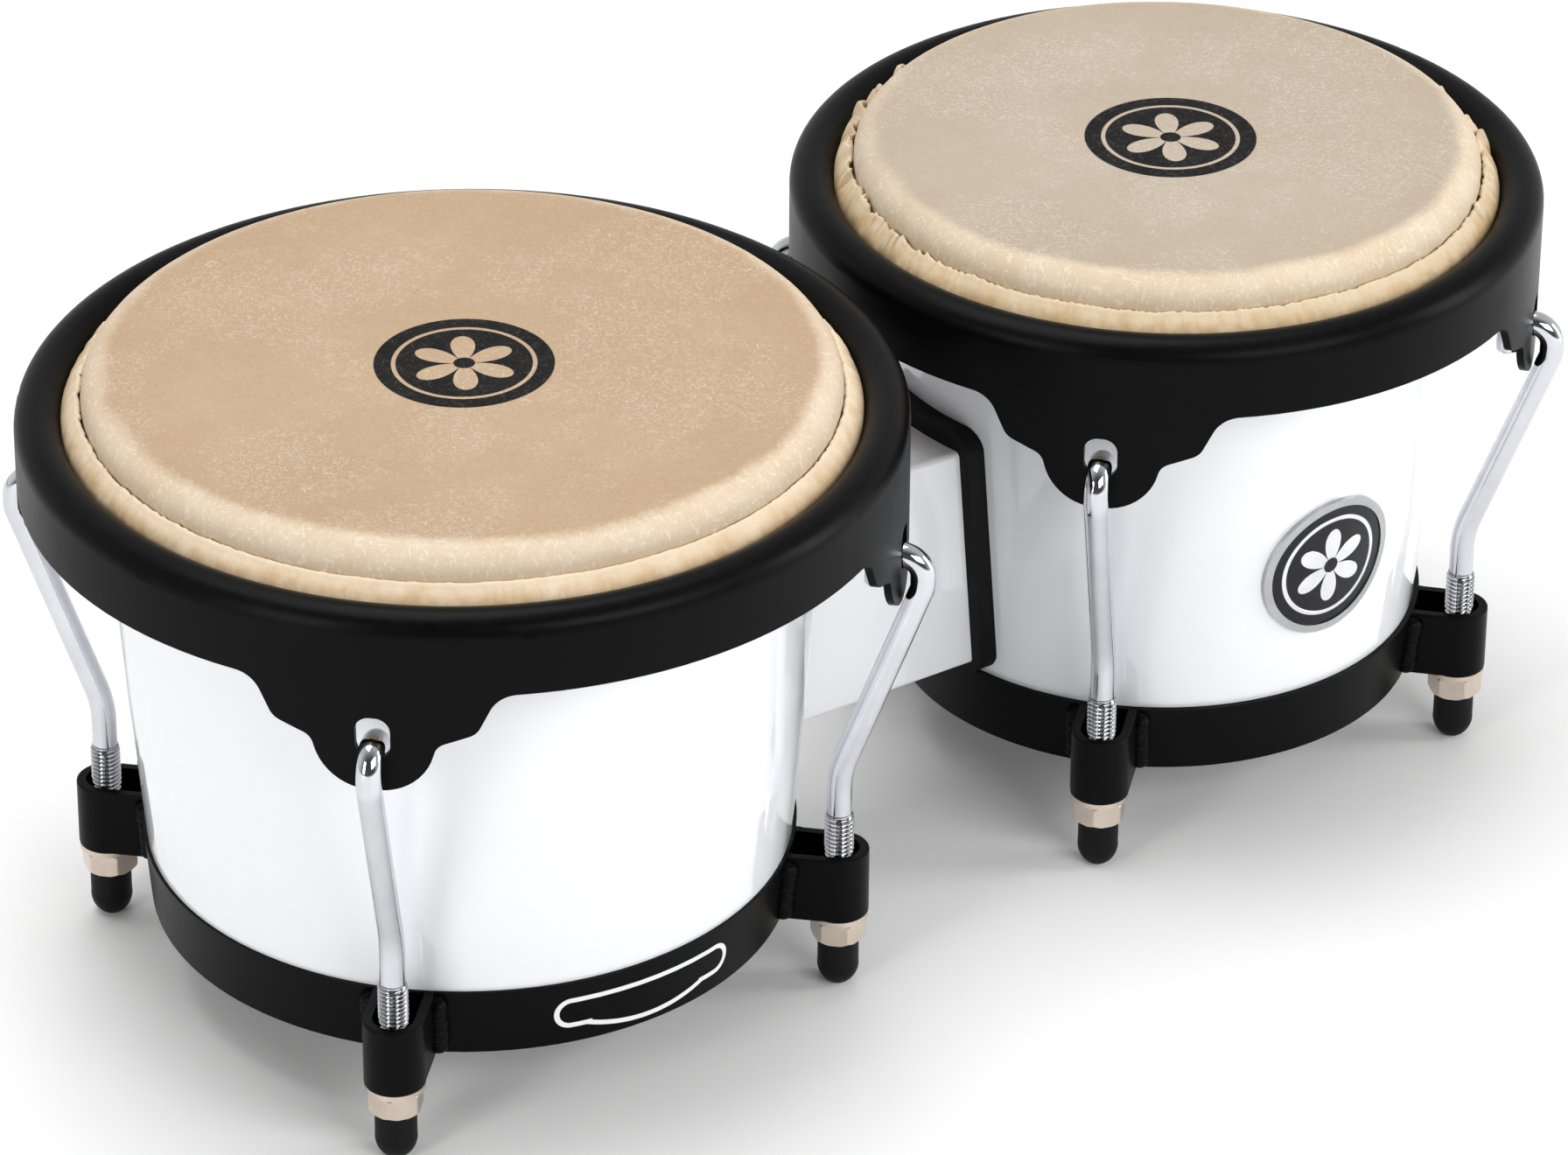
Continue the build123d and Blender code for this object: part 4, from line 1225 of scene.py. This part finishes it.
# ---------------------------------------------------------------- the studio
@dataclass(frozen=True)
class Studio:
    """Camera, lights and floor."""

    azimuth: float = 34.77
    elevation: float = 30.88
    roll: float = 0.52
    distance: float = 2.06615
    aim: tuple[float, float, float] = (0.00635, 0.0, 0.07016)
    lens: float = 178.53
    shift: Point = (-0.02383, 0.01087)

    def camera(self) -> None:
        """Sets the camera up."""
        az, el, roll = radians(self.azimuth), radians(self.elevation), radians(self.roll)
        back = Vector((-sin(az) * cos(el), -cos(az) * cos(el), sin(el)))
        right = Vector((cos(az), -sin(az), 0.0))
        up = back.cross(right)
        turned_right = right * cos(roll) + up * sin(roll)
        turned_up = up * cos(roll) - right * sin(roll)
        matrix = Matrix((turned_right, turned_up, back)).transposed().to_4x4()
        matrix.translation = Vector(self.aim) + back * self.distance
        data = bpy.data.cameras.new("camera")
        data.lens = self.lens
        data.sensor_width = 36.0
        data.shift_x, data.shift_y = self.shift
        data.clip_end = 20.0
        camera = bpy.data.objects.new("camera", data)
        camera.matrix_world = matrix
        bpy.context.scene.collection.objects.link(camera)
        bpy.context.scene.camera = camera

    def lamp(self, name: str, place: tuple[float, float, float], size: Point, power: float) -> None:
        """Adds a soft area light aimed at the drums.

        Args:
            name: The name.
            place: Where it stands.
            size: Its width and height.
            power: Its power in watts.
        """
        data = bpy.data.lights.new(name, "AREA")
        data.shape = "RECTANGLE"
        data.size, data.size_y = size
        data.energy = power
        lamp = bpy.data.objects.new(name, data)
        lamp.location = place
        lamp.rotation_euler = (Vector(self.aim) - Vector(place)).to_track_quat("-Z", "Y").to_euler()
        bpy.context.scene.collection.objects.link(lamp)

    def world(self) -> None:
        """Sets an even white surround, a little darker in front and below."""
        world = bpy.data.worlds.new("studio")
        world.use_nodes = True
        bpy.context.scene.world = world
        board = Board(world.node_tree)
        background = world.node_tree.nodes["Background"]
        way = board.add("ShaderNodeTexCoord").outputs["Generated"]
        z = board.add("ShaderNodeSeparateXYZ", {0: way}).outputs[2]
        front = board.add(
            "ShaderNodeVectorMath", {0: way, 1: (-0.57, -0.82, 0.0)}, operation="DOT_PRODUCT"
        ).outputs["Value"]
        level = board.ramp(z, 0.0, 0.8, 0.85, 0.6)
        shade = board.ramp(front, -0.1, 0.75, 1.0, 0.1)
        board.feed(background.inputs["Strength"], board.math("MULTIPLY", level, shade))
        background.inputs["Color"].default_value = (1.0, 1.0, 1.0, 1.0)

    def floor(self, effects: Effects) -> None:
        """Lays a plain pale floor.

        Args:
            effects: The shared effects.
        """
        half = 6.0
        corners = [(-half, -half, 0.0), (half, -half, 0.0), (half, half, 0.0), (-half, half, 0.0)]
        floor = new_piece("floor", corners, [(0, 1, 2, 3)])
        paper = CoatedFinish(
            "white_floor", (0.93, 0.93, 0.93), (0.92, 0.92, 0.92), (0.6, 0.7), 300.0, 0.00002, 0.1
        )
        floor.data.materials.append(paper.build(effects))

    def build(self, effects: Effects) -> None:
        """Builds the whole studio.

        Args:
            effects: The shared effects.
        """
        self.camera()
        self.world()
        self.floor(effects)
        self.lamp("top_softbox", (-0.1, 0.4, 1.9), (1.6, 1.2), 22.0)
        self.lamp("left_softbox", (-1.8, -0.5, 0.7), (0.5, 1.1), 12.0)
        self.lamp("right_softbox", (1.6, -1.0, 0.6), (0.5, 1.1), 12.0)
        self.lamp("front_fill", (0.1, -1.7, 1.0), (1.2, 0.8), 16.0)
        bpy.context.scene.view_settings.view_transform = "Standard"


# ---------------------------------------------------------------- the whole pair
LARGE_LOOK = DrumLook(
    tone=(0.47, 0.335, 0.215),
    tone_far=(0.41, 0.285, 0.175),
    edge=(0.67, 0.56, 0.43),
    edge_shaded_side_paleness=0.75,
    fibre=(0.72, 0.64, 0.53),
    fibre_amount=0.5,
    lap=(0.62, 0.44, 0.25),
    lap_pale=(0.78, 0.65, 0.48),
    frill=0.3,
    print_offset=(-0.001, -0.0025),
)
SMALL_LOOK = DrumLook(
    tone=(0.465, 0.39, 0.31),
    tone_far=(0.41, 0.34, 0.26),
    edge=(0.68, 0.575, 0.44),
    edge_shaded_side_paleness=0.6,
    fibre=(0.72, 0.67, 0.6),
    fibre_amount=0.5,
    lap=(0.56, 0.39, 0.2),
    lap_pale=(0.72, 0.59, 0.41),
    frill=0.75,
    print_offset=(-0.001, -0.0025),
)

BLACK = dict(
    colour=(0.0015, 0.0015, 0.0017),
    second=(0.0025, 0.0025, 0.0028),
    gloss=(0.32, 0.4),
    specular=0.07,
    grain_scale=1500.0,
    grain_depth=0.00003,
    grain_strength=0.35,
    dust=0.006,
)


class Bongos:
    """The whole pair: its finishes, its new pieces, and the finish of every node that stays."""

    def __init__(self, effects: Effects) -> None:
        """Sets up the drums and their finishes.

        Args:
            effects: The shared effects.
        """
        self.effects = effects
        self.drums = (Drum("large", LARGE_LOOK), Drum("small", SMALL_LOOK))
        large, small = self.drums
        badge_low, badge_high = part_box("badge_ring")
        badge_level = (badge_low.z + badge_high.z) / 2
        finishes = {
            "black_steel": CoatedFinish("black_powder_coat", **BLACK),
            "labelled_ring": LabelledFinish("black_coat_with_outline", centre=large.centre, **BLACK),
            "shell": CoatedFinish(
                "white_gloss", (0.84, 0.85, 0.88), (0.82, 0.83, 0.865), (0.05, 0.09), 160.0, 0.00004, 0.06,
                coat=0.6,
            ),
            "rubber": CoatedFinish(
                "black_rubber", (0.003, 0.003, 0.0034), (0.005, 0.005, 0.0055), (0.5, 0.62), 1800.0, 0.00006,
                0.5, dust=0.005, specular=0.14,
            ),
            # The chrome's threads get painted shade in their grooves.
            "chrome": PlatedFinish(
                "chrome", (0.66, 0.67, 0.7), (0.6, 0.61, 0.64), (0.04, 0.09), groove_shade_tone=0.22
            ),
            "nickel": PlatedFinish(
                "warm_nickel", (0.74, 0.65, 0.56), (0.64, 0.54, 0.45), (0.14, 0.24), 900.0, 0.1
            ),
            "zinc_steel": PlatedFinish(
                "zinc_plate", (0.66, 0.68, 0.7), (0.58, 0.59, 0.6), (0.28, 0.42), 700.0, 0.15
            ),
            "hoop_steel": PlatedFinish(
                "plain_wire", (0.5, 0.5, 0.5), (0.42, 0.41, 0.4), (0.3, 0.45), 700.0, 0.15
            ),
            "badge_silver": PlatedFinish(
                "badge_silver", (0.5, 0.505, 0.52), (0.42, 0.425, 0.44), (0.24, 0.34), 1200.0, 0.1
            ),
            "badge_face": BadgeFinish(
                "badge_face", (0.85, 0.85, 0.87), (0.75, 0.75, 0.77), (0.2, 0.3),
                centre=(*small.centre, badge_level),
            ),
        }
        self.finishes = {name: finish.build(effects) for name, finish in finishes.items()}
        self.finishes["block"] = self.finishes["shell"]

    def dress_nodes(self) -> None:
        """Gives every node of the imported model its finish."""
        slots = {entry["node"]: entry["material_slot"] for entry in frame["record"]["subparts"]}
        for name, node in frame["nodes"].items():
            finish = "labelled_ring" if name == "large_bottom_ring" else slots[name]
            if finish not in self.finishes:
                continue
            node.data.materials.clear()
            node.data.materials.append(self.finishes[finish])
        LOG.info("dressed %d nodes", len(frame["nodes"]))

    def skins(self, drum: Drum) -> None:
        """Builds a drum's skin and lap.

        Args:
            drum: The drum.
        """
        look = drum.look
        skin = SkinFinish(
            f"{drum.name}_hide",
            drum.centre,
            drum.flat + 1.2 * MM,
            look.tone,
            look.tone_far,
            look.edge,
            look.fibre,
            look.fibre_amount,
            print_offset=look.print_offset,
            top=drum.top,
            shaded_side_paleness=look.edge_shaded_side_paleness,
        ).build(self.effects)
        cut = drum.hoop_level + drum.lap_top
        lap_finish = LapFinish(
            f"{drum.name}_lap", drum.centre, look.lap, look.lap_pale, cut, cut - drum.lap_fade
        )
        lap = lap_finish.build(self.effects)
        finish_piece(drum.head(), "root", skin, [f"{drum.name}_head", f"{drum.name}_head_collar"])
        finish_piece(drum.lap(), f"{drum.name}_rim_body", lap, [f"{drum.name}_skin_tuck"])

    def build(self) -> None:
        """Builds everything."""
        rods, welds = RodTree(), WeldTree()
        self.dress_nodes()
        for drum in self.drums:
            self.skins(drum)
            for number in range(1, len(drum.lugs) + 1):
                hook = rods.hook(drum, number, self.finishes["chrome"])
                node = f"{drum.name}_hook_{number}"
                finish_piece(hook, f"{node}_body", self.finishes["chrome"], [node])
            coat = self.finishes["black_steel"]
            beads = welds.beads(drum, coat)
            finish_piece(beads, "root", coat, [f"{drum.name}_weld_beads"])


def main() -> None:
    """Builds the pair and its studio."""
    logging.basicConfig(level=logging.INFO, format="%(name)s: %(message)s")
    effects = Effects()
    Bongos(effects).build()
    Studio().build(effects)
    bpy.context.view_layer.update()


if __name__ == "__main__":
    main()
